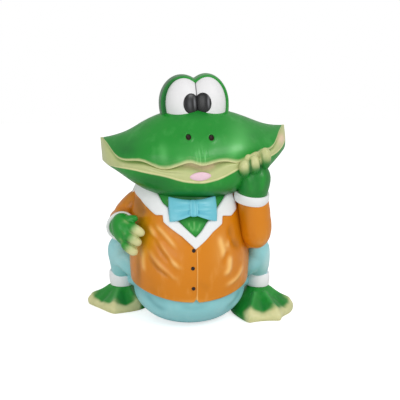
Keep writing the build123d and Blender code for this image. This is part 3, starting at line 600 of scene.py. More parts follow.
def mouth_surface():
    """The lining between the lips: the head's own front set back by deep + 1.2 mm, where deep falls
    from 6 mm under the upper lip to nothing over the raised band above the lower lip."""
    down = np.linspace(0, 1, 60)
    above = np.minimum(upper_edge + 0.12, 3.0)
    ring = above[:, None] + (lower_edge - 0.05 - above)[:, None] * down
    across = head_places[:, None] + 0 * ring
    points = head_skin(across, ring)
    band = 0.42 + 0.10 * np.cos(head_places[:, None] * 9.0)
    inside = 1 - soft_step(band - 0.22, band + 0.16, down[None, :] + 0 * ring)
    open_share = corner_share(across) * np.clip(1.25 - np.abs(across) ** 3, 0, 1)
    deep = 6.0 * inside * np.clip(open_share, 0, 1)
    fade = soft_step(0.1, 0.3, down) * (1 - soft_step(0.5, 0.75, down))
    folds = 0.8 * np.cos(down * 21.0)[None, :] * fade
    folds = folds * bell(head_places[:, None] + 0.35, 0.3)
    points[..., 1] += deep + (1.2 + folds) * corner_share(across)
    return points, inside * np.clip(open_share, 0, 1)


lining_points, lining_inside = mouth_surface()
lining_x = lining_points[..., 0]
blush = 0.6 * bell(lining_x, 45) * np.clip(lining_inside, 0.25, 1)
blush = np.maximum(blush, 0.7 * bell(lining_x - 125, 10, lining_points[..., 2] - 2, 10))
# shade: painted shade deep in the mouth under the upper lip, and a little darker all over
write_piece(
    "mouth_lining_skin",
    [sheet(to_body(lining_points), around=False, shade=-0.05 - lining_inside, blush=blush)],
    "cream_mouth",
    "mouth_lining",
)


def front_of_head(x, z):
    """The head's front at places across and up."""
    across = np.ravel(x) / head_half_width
    ring = ring_at(across, np.ravel(z), 2.0, 300)
    return head_skin(across, ring).reshape(*np.shape(x), 3)


def tongue_pad():
    """A low oval cushion on the mouth's lower band: proud = 2.2 sqrt(1 - r^2), its rim tucked in."""
    reach = np.linspace(0, 1, 26)[:, None]
    turn = np.linspace(0, 2 * np.pi, 72, endpoint=False)
    x = tongue_middle[0] + tongue_half_width * reach * np.cos(turn)
    z = tongue_middle[1] + tongue_half_height * reach * np.sin(turn) * (1 - 0.12 * np.cos(2 * turn))
    points = front_of_head(x, z)
    dip = 0.5 * bell(np.cos(turn) * reach, 0.22) * (1 - reach**2)
    points[..., 1] += 1.6 - 2.2 * np.sqrt(1 - reach**2) + dip
    return points


tongue_middle = (-2.6, -34.6)
tongue_half_width = 15.0
tongue_half_height = 5.6
tongue_points = tongue_pad()
# painted shade round the tongue's tucked-in rim
tongue_rim_shade = -0.5 * soft_step(0.6, 1.0, np.linspace(0, 1, 26))[:, None]
write_piece("tongue_pad", [sheet(to_body(tongue_points), shade=tongue_rim_shade)], "pink_tongue", "tongue")


# Jacket: an oval tower from the hem to the throat, with cloth folds pulled towards the arms

jacket_half_width = 90.0
jacket_front = 94.0
jacket_back = 86.0
hem_height = 48.0
hem_rise = 15.0
jacket_height = 164.0
jacket_top = hem_height + jacket_height
front_shift = -3.5
front_edge_x = -0.5
jacket_levels = [
    # height, half width, front reach, back reach, as shares
    (0.00, 0.970, 0.950, 0.955),
    (0.17, 0.995, 0.990, 0.990),
    (0.34, 1.000, 1.000, 1.000),
    (0.51, 0.985, 0.960, 0.970),
    (0.68, 0.965, 0.885, 0.930),
    (0.84, 0.930, 0.780, 0.860),
    (1.00, 0.800, 0.610, 0.700),
]
throat = [
    # half width as a share of the jacket's half width, height as a share of the jacket's top
    (0.000, 0.660),
    (0.215, 0.745),
    (0.372, 0.815),
    (0.520, 0.895),
    (0.600, 1.000),
]
jacket_folds = [
    # path on the front as (across, height), width, how far it stands out
    ([(-66, 160), (-61, 150), (-52, 135), (-40, 117), (-28, 104), (-17, 95)], 3.8, 2.2),
    ([(-66, 130), (-60, 113), (-48, 99), (-35, 88), (-22, 81)], 3.6, 1.5),
    ([(-72, 126), (-72, 112), (-72, 98), (-70, 82)], 3.4, 1.7),
    ([(-58, 161), (-48, 151), (-36, 138), (-23, 121)], 4.0, 1.5),
    ([(33, 146), (34, 136), (36, 128), (38, 118), (36, 108)], 4.0, 1.4),
    ([(53, 142), (47, 131), (43, 124)], 4.0, 0.9),
    ([(49, 116), (48, 104), (46, 92), (36, 84)], 4.2, 1.8),
    ([(70, 100), (66, 84), (54, 74), (36, 68)], 4.2, 1.7),
    ([(52, 162), (50, 143), (56, 128), (68, 114)], 5.0, -1.8),
    ([(-58, 152), (-53, 134), (-44, 118), (-28, 104)], 4.5, -2.0),
    ([(-66, 120), (-60, 104), (-47, 92), (-30, 84)], 4.0, -1.8),
    ([(-80, 194), (-76, 178), (-70, 165)], 7.0, -2.4),
    ([(44, 122), (42, 112), (36, 98)], 4.0, -0.8),
]
back_folds = [
    ([(-60, 170), (-40, 152), (-12, 146), (14, 150)], 9.0, -1.0),
    ([(66, 150), (48, 126), (22, 112), (-6, 110)], 9.0, -1.0),
    ([(-64, 112), (-46, 92), (-22, 84)], 8.0, -0.8),
    ([(0, 190), (0, 150), (1, 100), (0, 60)], 1.2, -0.7),
]


def jacket_level(height):
    """Half width, front reach and back reach of the jacket at a height."""
    level = through(jacket_levels, (height - hem_height) / jacket_height)
    return level[..., 0] * jacket_half_width, level[..., 1] * jacket_front, level[..., 2] * jacket_back


def on_jacket(turn, height, proud=0.0):
    """A point of the jacket: an ellipse with half axes W and (front + back) / 2 at that height,
    turn measured from the front towards the raised arm."""
    half_width, front, back = jacket_level(height)
    x = (half_width + proud) * np.sin(turn)
    y = (back - front) / 2 - ((front + back) / 2 + proud) * np.cos(turn)
    return np.stack([x + 0 * y, y, height + 0 * x], axis=-1)


def turn_at(across, height):
    """The turn at which the jacket's front has a given place across."""
    return np.arcsin(np.clip(across / jacket_level(height)[0], -1, 1))


def throat_height_at(turn):
    """The height of the throat's edge at each turn, and the jacket's top beyond it."""
    shares = np.array(throat)
    heights = shares[:, 1] * jacket_top
    right = turn_at(front_shift + shares[:, 0] * jacket_half_width, heights)
    left = turn_at(front_shift - shares[:, 0] * jacket_half_width, heights)
    turns = np.concatenate([left[::-1], right[1:]])
    tops = np.concatenate([heights[::-1], heights[1:]])
    return np.where(np.abs(turn) < np.pi / 2, np.interp(turn, turns, tops), jacket_top)


def hem_at(turn):
    """The hem's height: h + rise (x / W)^2, cut up in a small rounded notch under the front edge."""
    across = np.sin(turn) * jacket_half_width * 0.97
    notch = 4.6 * bell(across - front_edge_x, 2.6) * (np.cos(turn) > 0)
    return hem_height + hem_rise * (across / jacket_half_width) ** 2 + notch


def cloth_relief(points, turn):
    """How far the cloth stands out: first the folds on front and back, then the lapped front edge
    with the groove beside it."""
    flat = points[..., [0, 2]]
    front = np.cos(turn) > 0
    relief = np.zeros(points.shape[:-1])
    for path, width, height in jacket_folds:
        relief += height * crease(flat, path, width) * front
    for path, width, height in back_folds:
        relief += height * crease(flat, path, width) * ~front
    off_edge = points[..., 0] - front_edge_x
    below_tip = 1 - soft_step(140, 143, points[..., 2])
    lap = 0.9 * soft_step(-0.35, 0.35, off_edge) * bell(off_edge, 16)
    groove = -0.35 * bell(off_edge, 0.7)
    return relief, (lap + groove) * front * below_tip


front_fine = turn_at(np.linspace(-7, 6, 44), np.full(44, 100.0))
jacket_turns = np.concatenate(
    [
        np.linspace(-np.pi, -1.7, 50)[:-1],
        np.linspace(-1.7, front_fine[0], 90)[:-1],
        front_fine,
        np.linspace(front_fine[-1], 1.7, 90)[1:],
        np.linspace(1.7, np.pi, 50)[1:-1],
    ]
)
up = np.linspace(0, 1, 120)
jacket_low = hem_at(jacket_turns)
jacket_high = throat_height_at(jacket_turns)
jacket_heights = jacket_low + (jacket_high - jacket_low) * up[:, None]
jacket_turn_grid = jacket_turns + 0 * jacket_heights
jacket_plain = on_jacket(jacket_turn_grid, np.maximum(jacket_heights, hem_height))
jacket_plain[..., 2] = jacket_heights
jacket_relief, edge_relief = cloth_relief(jacket_plain, jacket_turn_grid)
hem_share = np.clip((jacket_heights - jacket_low) / 2.2, 0, 1)
hem_round = -1.6 * (1 - np.sqrt(np.clip(1 - (1 - hem_share) ** 2, 0, 1)))
jacket_out = normals_of(jacket_plain)
jacket_points = jacket_plain + jacket_out * (jacket_relief + edge_relief + hem_round)[..., None]
hem_under = [jacket_points[0] * np.array([k, k, 1]) + np.array([0, 0, 0.3]) for k in (0.975, 0.955)]
jacket_points = np.concatenate([[hem_under[1]], [hem_under[0]], jacket_points])
cloth_x, cloth_z = jacket_plain[..., 0], jacket_plain[..., 2]
cloth_front = np.cos(jacket_turn_grid) > 0
# Painted light on the jacket: highlight on raised folds, shade in sunk ones, a broad highlight on the
# front, shade under both arms, highlight along the front edge and above the front hem; darker in a band
# down the -X side and low on that side
armpit_left = bell(cloth_x + 76, 14, cloth_z - 178, 30)
armpit_right = bell(cloth_x - 66, 12, cloth_z - 146, 32) * cloth_front
broad_light = bell(cloth_x - 40, 20, cloth_z - 122, 34) * cloth_front
edge_light = bell(cloth_x - front_edge_x - 0.8, 0.9) * (cloth_z < 126)
side_band = bell(cloth_x + 79, 4, cloth_z - 92, 24)
hem_light = bell(cloth_x + 6, 30) * bell(jacket_heights - jacket_low, 6)
jacket_painted_light = np.clip(jacket_relief / 2.0, -1, 1) * 0.7
jacket_painted_light += 0.3 * broad_light - 0.12 * armpit_left - 0.55 * armpit_right
jacket_painted_light -= 0.5 * (1 - soft_step(60, 95, cloth_z)) * bell(cloth_x + 88, 20)
jacket_painted_light += (0.5 * edge_light - 0.8 * side_band + 0.35 * hem_light) * cloth_front
jacket_painted_light = np.concatenate([[jacket_painted_light[0]], [jacket_painted_light[0]], jacket_painted_light])
hand_middle = (-92, -58, 140)
overspray = 1.1 * blob(jacket_points, hand_middle, (30, 30, 34))
write_piece(
    "jacket_cloth",
    [sheet(jacket_points, shade=jacket_painted_light, overspray=overspray)],
    "orange_cloth",
    "jacket_shell",
)


# Lapels and collar: one white band from behind the neck, down both sides of the throat to its tip

lapel_rows = [
    # outer edge and inner edge, each as (across, height), from the frog's right round to its left
    ((-80.7, 198.4), (-73.1, 211.1)),
    ((-72.7, 188.6), (-60.3, 206.5)),
    ((-64.4, 179.2), (-49.7, 198.1)),
    ((-53.6, 170.4), (-44.1, 186.5)),
    ((-44.4, 171.6), (-37.0, 181.7)),
    ((-43.8, 162.3), (-35.4, 172.7)),
    ((-34.9, 154.7), (-24.2, 164.3)),
    ((-19.8, 144.1), (-14.3, 154.4)),
    ((-6.7, 131.6), (-5.2, 145.8)),
    ((-2.0, 126.4), (-1.2, 142.4)),
    ((11.6, 137.3), (6.7, 150.0)),
    ((23.1, 148.6), (16.5, 163.4)),
    ((36.7, 158.1), (28.5, 170.0)),
    ((37.9, 169.2), (29.6, 178.6)),
    ((51.6, 166.7), (35.3, 184.1)),
    ((60.6, 174.4), (43.2, 192.1)),
    ((60.5, 178.4), (47.7, 197.5)),
    ((55.0, 195.0), (49.5, 205.0)),
]
lapel_marks = [0, 3, 6, 9, 10, 13, 16, 20, 23, 25, 28, 31, 34, 37, 38.2, 41, 43, 46]
lapel_thickness = 2.6


def lapel_band():
    """The band's rows run between its two edges on the jacket's oval; round each row the section is a
    flat cushion, proud = t (1 - |2 s - 1|^7)^0.5 over s from edge to edge, closed under the cloth."""
    rows = np.array(lapel_rows)
    turns = turn_at(rows[..., 0], rows[..., 1])
    edges = np.concatenate([turns, rows[..., 1]], axis=1)
    start = [(-np.pi, -np.pi, 188.0, 211.0), (-2.2, -2.2, 189.0, 211.0), (-1.6, -1.6, 191.0, 211.0)]
    start = np.array(start)
    end = np.array([[1.02, 1.00, 201.0, 210.0], [1.28, 1.28, 193.0, 211.0]])
    end = np.concatenate([end, start[::-1] * np.array([-1, -1, 1, 1])])
    edges = np.concatenate([start, edges, end])
    marks = np.concatenate([[-28, -16, -5], np.array(lapel_marks, float), [50, 54, 60, 71, 83]])
    run = np.linspace(marks[0], marks[-1], 800)
    lines = np.stack([np.interp(run, marks, edge) for edge in edges.T], axis=-1)
    kernel = np.hanning(9) / np.sum(np.hanning(9))
    padded = np.pad(lines, ((4, 4), (0, 0)), mode="edge")
    soft = np.stack([np.convolve(line, kernel, mode="valid") for line in padded.T], axis=-1)
    soft[[0, -1]] = lines[[0, -1]]
    over = (1 - np.cos(np.linspace(0, np.pi, 40))) / 2
    across = np.concatenate([over, over[::-1][1:-1]])
    cushion = lapel_thickness * np.sqrt(np.clip(1 - np.abs(2 * over - 1) ** 7, 0, 1)) + 0.25
    under = -2.9 * np.sin(np.pi * over[::-1][1:-1]) ** 0.2
    proud = np.concatenate([cushion, under])
    turn = soft[:, :1] + (soft[:, 1:2] - soft[:, :1]) * across
    height = soft[:, 2:3] + (soft[:, 3:] - soft[:, 2:3]) * across
    points = on_jacket(turn, height, proud + 7.5 * soft_step(1.5, 2.5, np.abs(turn)) * (1 - across))
    # painted shade along both edges of the band, where it rounds down to the cloth
    edge = np.clip(1 - proud / lapel_thickness, 0, 1) ** 3
    shade = -0.35 * edge + 0 * turn
    return points, shade


lapel_points, lapel_shade = lapel_band()
write_piece(
    "lapels_and_collar",
    [sheet(lapel_points, shade=lapel_shade)],
    "white_trim",
    "lapel_left",
    "lapel_right",
    "collar_stand",
)


# Chest: the frog's own skin in the jacket's opening, rising into the neck


def chest_skin():
    """Rows of the jacket's oval sunk by a little in the opening and by more under the cloth; the
    upper rows lean forward to meet the jaw and the last ones draw in to the neck."""
    up = np.linspace(0, 1, 90)[:, None]
    turn = np.linspace(-np.pi, np.pi, 220, endpoint=False)
    height = 124 + 86 * np.clip(up / 0.8, 0, 1) + 14 * np.clip((up - 0.8) / 0.2, 0, 1)
    throat_height = throat_height_at(turn)
    opening = soft_step(-9, -3, height - throat_height) * (np.abs(turn) < 1.2)
    plain = on_jacket(turn, np.minimum(height, 210), 0.0)
    middle = bell(plain[..., 0] + 3, 34)
    lean = 5.0 * soft_step(176, 204, height) * middle - 40 * soft_step(0.8, 1.0, up) ** 1.5
    proud = -9 + 6.4 * opening + lean
    points = on_jacket(turn, np.minimum(height, 210), proud)
    points[..., 2] = height
    x, z = points[..., 0], points[..., 2]
    flat = np.stack([x, z], axis=-1)
    streaks = np.zeros(x.shape)
    for path, width in (
        ([(-12, 166), (-8, 156), (-3, 148)], 1.6),
        ([(-3, 166), (-2, 157), (-1, 149)], 1.3),
        ([(8, 164), (4, 155), (0, 148)], 1.6),
        ([(-40, 196), (-34, 186), (-27, 176)], 1.6),
    ):
        streaks += crease(flat, path, width)
    # painted highlight over the middle of the chest and along four pale streaks, which are also tinted
    # cream; painted shade under the jaw
    light = 0.25 * bell(x + 1, 16, z - 154, 9)
    shade = light + 0.45 * streaks - 0.75 * soft_step(178, 196, z) * middle
    bottom = np.mean(points[0], axis=0) + 0 * points[:1]
    top = np.mean(points[-1], axis=0) + 0 * points[:1]
    shade = np.concatenate([shade[:1], shade, shade[-1:]])
    cream = np.concatenate([streaks[:1], streaks, streaks[-1:]]) * 0.22
    return np.concatenate([bottom, points, top]), np.clip(shade, -1, 1), cream


chest_points, chest_shade, chest_highlight_streaks = chest_skin()
write_piece(
    "chest_skin",
    [sheet(chest_points, shade=chest_shade, cream=chest_highlight_streaks)],
    "green_skin",
    "chest_and_neck",
)


# Rounded limbs and hands, grown together from simple closed forms


def tube(path, radii):
    """A closed sausage: circles square to a smooth path through places, radius through its knots,
    drawn in at both ends by a quarter circle r sqrt(1 - (1 - s/e)^2) into round caps."""
    around, along = 48, 90
    places = np.asarray(path, float)
    marks = np.linspace(0, 1, len(places))
    share = (1 - np.cos(np.linspace(0, np.pi, along))) / 2
    centre = through(np.column_stack([marks, places]), share)
    radius = through(np.column_stack([np.linspace(0, 1, len(radii)), radii]), share)[:, 0]
    run = unit(np.gradient(centre, axis=0))
    side = unit(np.cross(run, np.array([0.31, 0.12, 0.94])))
    rise = np.cross(side, run)
    length = np.sum(np.linalg.norm(np.diff(centre, axis=0), axis=1))
    near_end = np.minimum(share, 1 - share) * length
    cap = np.clip(near_end / np.maximum(radius, 1e-6), 0, 1)
    radius = radius * np.sqrt(np.clip(1 - (1 - cap) ** 2, 0, 1))
    turn = np.linspace(0, 2 * np.pi, around, endpoint=False)
    ring = side[:, None] * np.cos(turn)[:, None] + rise[:, None] * np.sin(turn)[:, None]
    return sheet(centre[:, None] + radius[:, None, None] * ring)


def egg(centre, size, tilt=0.0, around=48, along=40):
    """An ellipsoid about a centre, tilted about the front-to-back line."""
    polar = np.linspace(0, np.pi, along)[:, None]
    turn = np.linspace(0, 2 * np.pi, around, endpoint=False)
    wide = np.sin(polar)
    ball = np.stack([wide * np.cos(turn), wide * np.sin(turn), np.cos(polar) + 0 * turn], axis=-1)
    ball = ball * np.array(size)
    cos_tilt, sin_tilt = math.cos(tilt), math.sin(tilt)
    tipped = np.array([[cos_tilt, 0, sin_tilt], [0, 1, 0], [-sin_tilt, 0, cos_tilt]])
    return sheet(ball @ tipped.T + np.array(centre))


def grown_together(name, parts, cell, rounds):
    """The union of closed forms as one skin: a voxel remesh joins them and a smoothing softens the
    joins. Gives the mesh with its places in millimetres and its outward directions."""
    rough = mesh_of(name, parts)
    made = bpy.data.objects.new(name, rough)
    bpy.context.scene.collection.objects.link(made)
    bpy.context.view_layer.update()
    joined = made.modifiers.new("joined", "REMESH")
    joined.mode = "VOXEL"
    joined.voxel_size = cell * mm
    softened = made.modifiers.new("softened", "SMOOTH")
    softened.factor = 0.5
    softened.iterations = rounds
    drawn = bpy.context.evaluated_depsgraph_get()
    mesh = bpy.data.meshes.new_from_object(made.evaluated_get(drawn))
    bpy.data.objects.remove(made)
    bpy.data.meshes.remove(rough)
    places = np.empty(len(mesh.vertices) * 3, np.float32)
    mesh.vertices.foreach_get("co", places)
    out = np.empty(len(mesh.vertices) * 3, np.float32)
    mesh.vertex_normals.foreach_get("vector", out)
    return mesh, places.reshape(-1, 3).astype(float) / mm, out.reshape(-1, 3).astype(float)


def shaped(name, mesh, places, masks, slot, *replaced):
    """A grown skin with its places moved and its masks written, handed over as a finished piece."""
    mesh.vertices.foreach_set("co", (places * mm).astype(np.float32).ravel())
    for key, values in masks.items():
        mesh.attributes.new(key, "FLOAT", "POINT").data.foreach_set("value", values.astype(np.float32))
    mesh.update()
    mesh.name = name
    return finish_piece(name, mesh, slot, *replaced)


def finger_cream(places, fingers, start, full, breadth=7.6):
    """Cream sprayed along each finger's path: nothing before start, full from there on to the tip,
    and only within a breadth of the path."""
    cream = np.zeros(len(places))
    for finger in fingers:
        gap, along = near(places, finger)
        within = 1 - soft_step(breadth, breadth + 3, gap)
        cream = np.maximum(cream, soft_step(start, full, along) * within)
    return cream


def valleys(places, fingers, width, lift=(0, -3, 0)):
    """Weights along the grooves between neighbouring fingers, half way between their paths."""
    weight = np.zeros(len(places))
    for first, second in zip(fingers, fingers[1:]):
        half_way = (np.array(first, float) + np.array(second, float)) / 2 + np.array(lift)
        weight = np.maximum(weight, crease(places, half_way, width, 0.12))
    return weight


# Hand on the hip: three plump fingers and a thumb lying on the jacket, tendons fanning to the knuckles
hip_fingers = [
    [(-92, -60, 157), (-84, -69, 153), (-71, -67, 144)],
    [(-96, -62, 144.5), (-88, -71, 140), (-76, -67, 130.5)],
    [(-100, -60, 132), (-92.5, -69, 126), (-81.5, -65, 116.5)],
]
hip_parts = [
    egg((-97.3, -49, 147.5), (17.6, 19.5, 25.5), tilt=math.radians(-22)),
    egg((-91, -60, 142.5), (12.0, 12.5, 21.5), tilt=math.radians(-22)),
    tube([(-102, -16, 148), (-101.5, -34, 148), (-98, -50, 147)], (17.2, 17.6, 15.0)),
    tube([(-99, -50, 161), (-90, -58, 165), (-79, -62, 166.5)], (6.6, 5.6, 4.4)),
]
hip_parts += [tube(finger, (6.4, 6.9, 6.8, 5.8)) for finger in hip_fingers]
hip_mesh, hip_places, hip_out = grown_together("hip_hand", hip_parts, cell=1.0, rounds=9)
hip_tendons = np.zeros(len(hip_places))
for finger in hip_fingers:
    knuckle = np.array(finger[0], float)
    tendon = [(-108, -52, 164), knuckle + (-3, -5, 5), knuckle + (2, -7, -1)]
    hip_tendons += crease(hip_places, tendon, 2.8, 0.25)
hip_valleys = valleys(hip_places, hip_fingers, 1.7)
hip_moved = hip_places + hip_out * (1.5 * hip_tendons - 0.9 * hip_valleys)[:, None]
shaped(
    "hip_hand",
    hip_mesh,
    hip_moved,
    {
        # cream on the fingers and a little on the tendons; shade: painted highlight along the tendons,
        # painted shade between the fingers and a little over the whole hand
        "cream": np.maximum(0.92 * finger_cream(hip_places, hip_fingers, 0.2, 0.76), 0.3 * hip_tendons),
        "shade": 0.35 * hip_tendons - 0.8 * hip_valleys - 0.12,
    },
    "green_skin",
    "right_hand",
)

# Raised hand: a plump mitten with its three short fingers pressed to the corner of the mouth
lip_fingers = [
    [(70, -74, 226), (67.5, -83, 236), (66.5, -82, 249)],
    [(83, -76, 230), (80.5, -86, 241), (79.5, -84, 255)],
    [(97, -73, 236), (96, -84, 250), (95, -82, 265)],
]
lip_parts = [
    tube([(84.5, -52, 180), (84.5, -61, 204), (86.0, -65, 222), (86, -69, 246)], (21.0, 21.8, 22.4, 17.0)),
    egg((83.0, -69, 231), (20.5, 15.0, 22.0)),
    egg((87.0, -74, 244), (18.0, 9.5, 15.0), tilt=math.radians(-32)),
    egg((73.5, -77, 249), (6.5, 5.5, 7.0)),
]
lip_parts += [tube(finger, (7.4, 7.9, 7.7, 6.4)) for finger in lip_fingers]
lip_mesh, lip_places, lip_out = grown_together("lip_hand", lip_parts, cell=1.0, rounds=16)
lip_valleys = valleys(lip_places, lip_fingers, 2.6, (0, -5, 0))
lip_backs = crease(lip_places, [(71, -80, 232), (73, -86, 216), (77, -82, 202)], 3.4) + crease(
    lip_places, [(95, -82, 236), (93, -86, 216), (90, -82, 202)], 3.8
)
lip_cream = 0.9 * finger_cream(lip_places, lip_fingers, 0.26, 0.74, 9.5)
lip_moved = lip_places + lip_out * (0.8 * lip_backs - 0.4 * lip_valleys)[:, None]
shaped(
    "lip_hand",
    lip_mesh,
    lip_moved,
    {
        "cream": lip_cream * (1 - 0.7 * np.clip(lip_valleys, 0, 1)),
        # shade: painted highlight along two ridges on the back of the hand, painted shade between the
        # fingers and over the whole hand
        "shade": 0.3 * lip_backs - 0.3 * lip_valleys - 0.42,
    },
    "green_skin",
    "left_hand",
)


# Sleeves and trouser legs: stuffed tubes joined at elbow and knee, with soft folds where they bend


def cloth_limb(name, parts, folds, shades, slot, *replaced):
    """A grown limb whose skin is raised or sunk along fold paths, painted lighter on raised folds and
    darker in sunk ones as painted highlight and shade, with more painted shade or highlight round given
    places.
    """
    mesh, places, out = grown_together(name, parts, cell=1.6, rounds=14)
    relief = np.zeros(len(places))
    for path, width, height in folds:
        relief += height * crease(places, path, width)
    shade = 0.35 * relief
    for centre, size, amount in shades:
        shade += amount * blob(places, centre, size)
    moved = places + out * relief[:, None]
    shaped(name, mesh, moved, {"shade": np.clip(shade, -1, 1)}, slot, *replaced)


# In each limb the last list gives painted shade (amount below zero) and painted highlight (above zero)
# round a centre, with its size.
cloth_limb(
    "raised_sleeve",
    [
        tube([(66, 6, 188), (76, -14, 170), (82, -29, 148), (86, -37, 110)], (19, 22, 22.5, 21)),
        tube(
            [(83.5, -57, 206), (87.5, -54, 176), (91, -52, 151), (92.5, -50, 114)],
            (21.5, 22.8, 23.2, 22.0),
        ),
    ],
    [
        ([(66, -62, 150), (72, -74, 146), (82, -77, 148)], 4.0, -1.0),
        ([(69, -60, 141), (76, -72, 136), (88, -74, 139)], 4.0, -0.9),
        ([(112, -48, 168), (110, -62, 162), (100, -72, 163)], 5.0, -0.7),
        ([(110, -40, 128), (112, -50, 136), (104, -66, 140)], 4.5, -0.7),
    ],
    [
        ((62, -30, 140), (12, 24, 40), -1.0),
        ((70, -66, 176), (9, 16, 34), -0.5),
        ((88, -56, 196), (30, 26, 9), -0.5),
        ((98, -74, 132), (16, 14, 20), 0.15),
    ],
    "orange_cloth",
    "left_sleeve",
)
cloth_limb(
    "hip_sleeve",
    [
        tube([(-56, 8, 186), (-75.5, 9, 175.5), (-90, 16, 160), (-104, 26, 144)], (18.5, 19.5, 19.5, 18.5)),
        tube([(-101, 36, 146), (-101, 8, 147), (-101.5, -34, 147.5)], (18.5, 18.0, 17.6)),
    ],
    [
        ([(-88, -4, 158), (-98, -2, 166), (-108, 6, 164)], 4.0, -1.1),
        ([(-84, -2, 164), (-93, -2, 172), (-103, 8, 172)], 4.5, 0.9),
        ([(-118, 20, 152), (-120, 14, 142), (-112, 8, 134)], 4.0, -0.9),
        ([(-100, 44, 150), (-90, 36, 158), (-84, 26, 168)], 4.5, -0.8),
    ],
    [
        ((-76, -10, 168), (16, 14, 18), -0.9),
        ((-100, -10, 172), (22, 20, 12), -0.15),
        ((-104, 0, 130), (16, 24, 10), -0.8),
    ],
    "orange_cloth",
    "right_sleeve",
)
cloth_limb(
    "left_trouser",
    [
        tube([(48, 13, 56), (72, 1, 70), (95, -10, 86), (104, -14, 104)], (21, 21, 19, 15)),
        tube([(60, 8, 50), (80, 10, 48), (98, 14, 45)], (16, 13.5, 9)),
        tube(
            [(101, -18, 122), (103.5, -15, 102), (106.6, -6, 84), (109.6, 5, 69)]
            + [(110.6, 12, 55), (110.8, 14, 24)],
            (17, 18.4, 18.0, 16.2, 14.6, 14.0),
        ),
    ],
    [
        ([(94, -20, 108), (104, -26, 101), (116, -22, 98)], 4.0, 0.8),
        ([(96, -16, 84), (106, -18, 79), (118, -14, 82)], 4.0, -0.6),
    ],
    [
        ((90, -14, 82), (7, 18, 44), -0.6),
        ((117, -18, 88), (10, 16, 34), 0.85),
        ((104, -30, 118), (20, 14, 7), -0.5),
    ],
    "blue_trousers",
    "left_trouser_leg",
)
cloth_limb(
    "right_trouser",
    [
        tube([(-48, 10, 56), (-75, 22, 72), (-98, 32, 88), (-104, 32, 103)], (21, 21, 19, 15)),
        tube([(-60, 24, 50), (-76, 38, 47), (-90, 54, 42)], (16, 13, 9)),
        tube(
            [(-101, 24, 122), (-103.8, 32, 98), (-102.5, 42, 80), (-101.2, 52, 62)]
            + [(-101.3, 58, 50), (-101.3, 60, 22)],
            (16, 18.8, 18.4, 17.2, 15.0, 14.4),
        ),
    ],
    [
        ([(-90, 12, 102), (-102, 12, 106), (-114, 18, 102)], 4.0, -0.7),
        ([(-88, 26, 72), (-100, 23, 68), (-114, 30, 71)], 4.0, -0.6),
    ],
    [
        ((-86, 16, 84), (8, 20, 30), -0.6),
        ((-108, 22, 92), (14, 16, 28), 0.5),
        ((-98, 4, 120), (22, 18, 8), -0.7),
    ],
    "blue_trousers",
    "right_trouser_leg",
)


# Webbed feet: a fan round the ankle, its rim rounded over plump toes, ridges running out to each tip


def foot_surface(ankle, height, outline, toes, collar):
    """A foot from its outline seen from above: rows shrink the outline towards the ankle's ring by
    the profile below, so the rim rolls over, the web slopes up and the neck meets the cuff."""
    ring = round_and_round(outline)
    turns = np.linspace(0, len(outline), 240, endpoint=False)
    rim = through(ring, turns)
    angle = np.unwrap(np.arctan2(rim[:, 1], rim[:, 0]))
    neck = collar * np.stack([np.cos(angle), np.sin(angle)], axis=-1)
    rows = np.linspace(0, 1, 60)
    profile = through(
        [
            # along the row, how far in from the rim, height as a share
            (0.00, 0.40, 0.000),
            (0.06, 0.10, 0.000),
            (0.12, 0.025, 0.030),
            (0.20, 0.000, 0.130),
            (0.30, 0.020, 0.245),
            (0.42, 0.110, 0.350),
            (0.56, 0.330, 0.480),
            (0.70, 0.600, 0.640),
            (0.86, 0.880, 0.850),
            (1.00, 1.000, 1.000),
        ],
        rows,
    )
    inwards, rise = profile[:, 0, None, None], profile[:, 1, None]
    flat = rim * (1 - inwards) + neck * inwards
    places = np.concatenate([flat, (height * np.clip(rise, 0, 1) + 0 * flat[..., 0])[..., None]], axis=-1)
    ridge = np.zeros(places.shape[:2])
    pads = np.zeros(places.shape[:2])
    for toe in toes:
        tip = np.array(toe, float)
        ridge += crease(places[..., :2], [tip * 0.30, tip * 0.62, tip * 0.97], 5.0, 0.12)
        pads += blob(places[..., :2], tip * 0.86, 8.5)
    webs = np.zeros(places.shape[:2])
    for first, second in zip(toes, toes[1:]):
        middle = (np.array(first, float) + np.array(second, float)) / 2
        webs += crease(places[..., :2], [middle * 0.45, middle * 0.75, middle * 1.05], 5.5, 0.15)
    level = places[..., 2] / height
    above = soft_step(0.02, 0.25, level) * (1 - soft_step(0.82, 1.0, level))
    places[..., 2] += above * (2.4 * ridge + 1.8 * pads - 2.2 * webs)
    near_rim = 1 - soft_step(0.03, 0.26, inwards[..., 0] + 0 * ridge)
    bearing = np.degrees(np.arctan2(rim[:, 1], rim[:, 0])) % 360
    first, last = [math.degrees(math.atan2(toe[1], toe[0])) % 360 for toe in (toes[0], toes[-1])]
    front = soft_step(first - 14, first + 2, bearing) * (1 - soft_step(last - 4, last + 10, bearing))
    cream = 0.9 * near_rim * front + 0.45 * pads * soft_step(0.1, 0.3, places[..., 2] / height)
    # painted highlight along the toe ridges, painted shade in the webs between them, and a little lighter
    # towards the ankle
    shade = 0.3 * (ridge - webs) * above + 0.1 * soft_step(0.35, 0.8, inwards[..., 0] + 0 * ridge)
    places = places + np.array([ankle[0], ankle[1], 0])
    return sheet(places, cream=np.clip(cream, 0, 1), shade=np.clip(shade, -1, 1))


def sole(rows_of):
    """The flat closing of a foot's first row, drawn in to its middle."""
    rim = rows_of["points"][0]
    middle = np.mean(rim, axis=0)
    # painted shade on the sole
    return sheet(np.stack([rim, middle + 0 * rim]), shade=-0.4, cream=0.0)


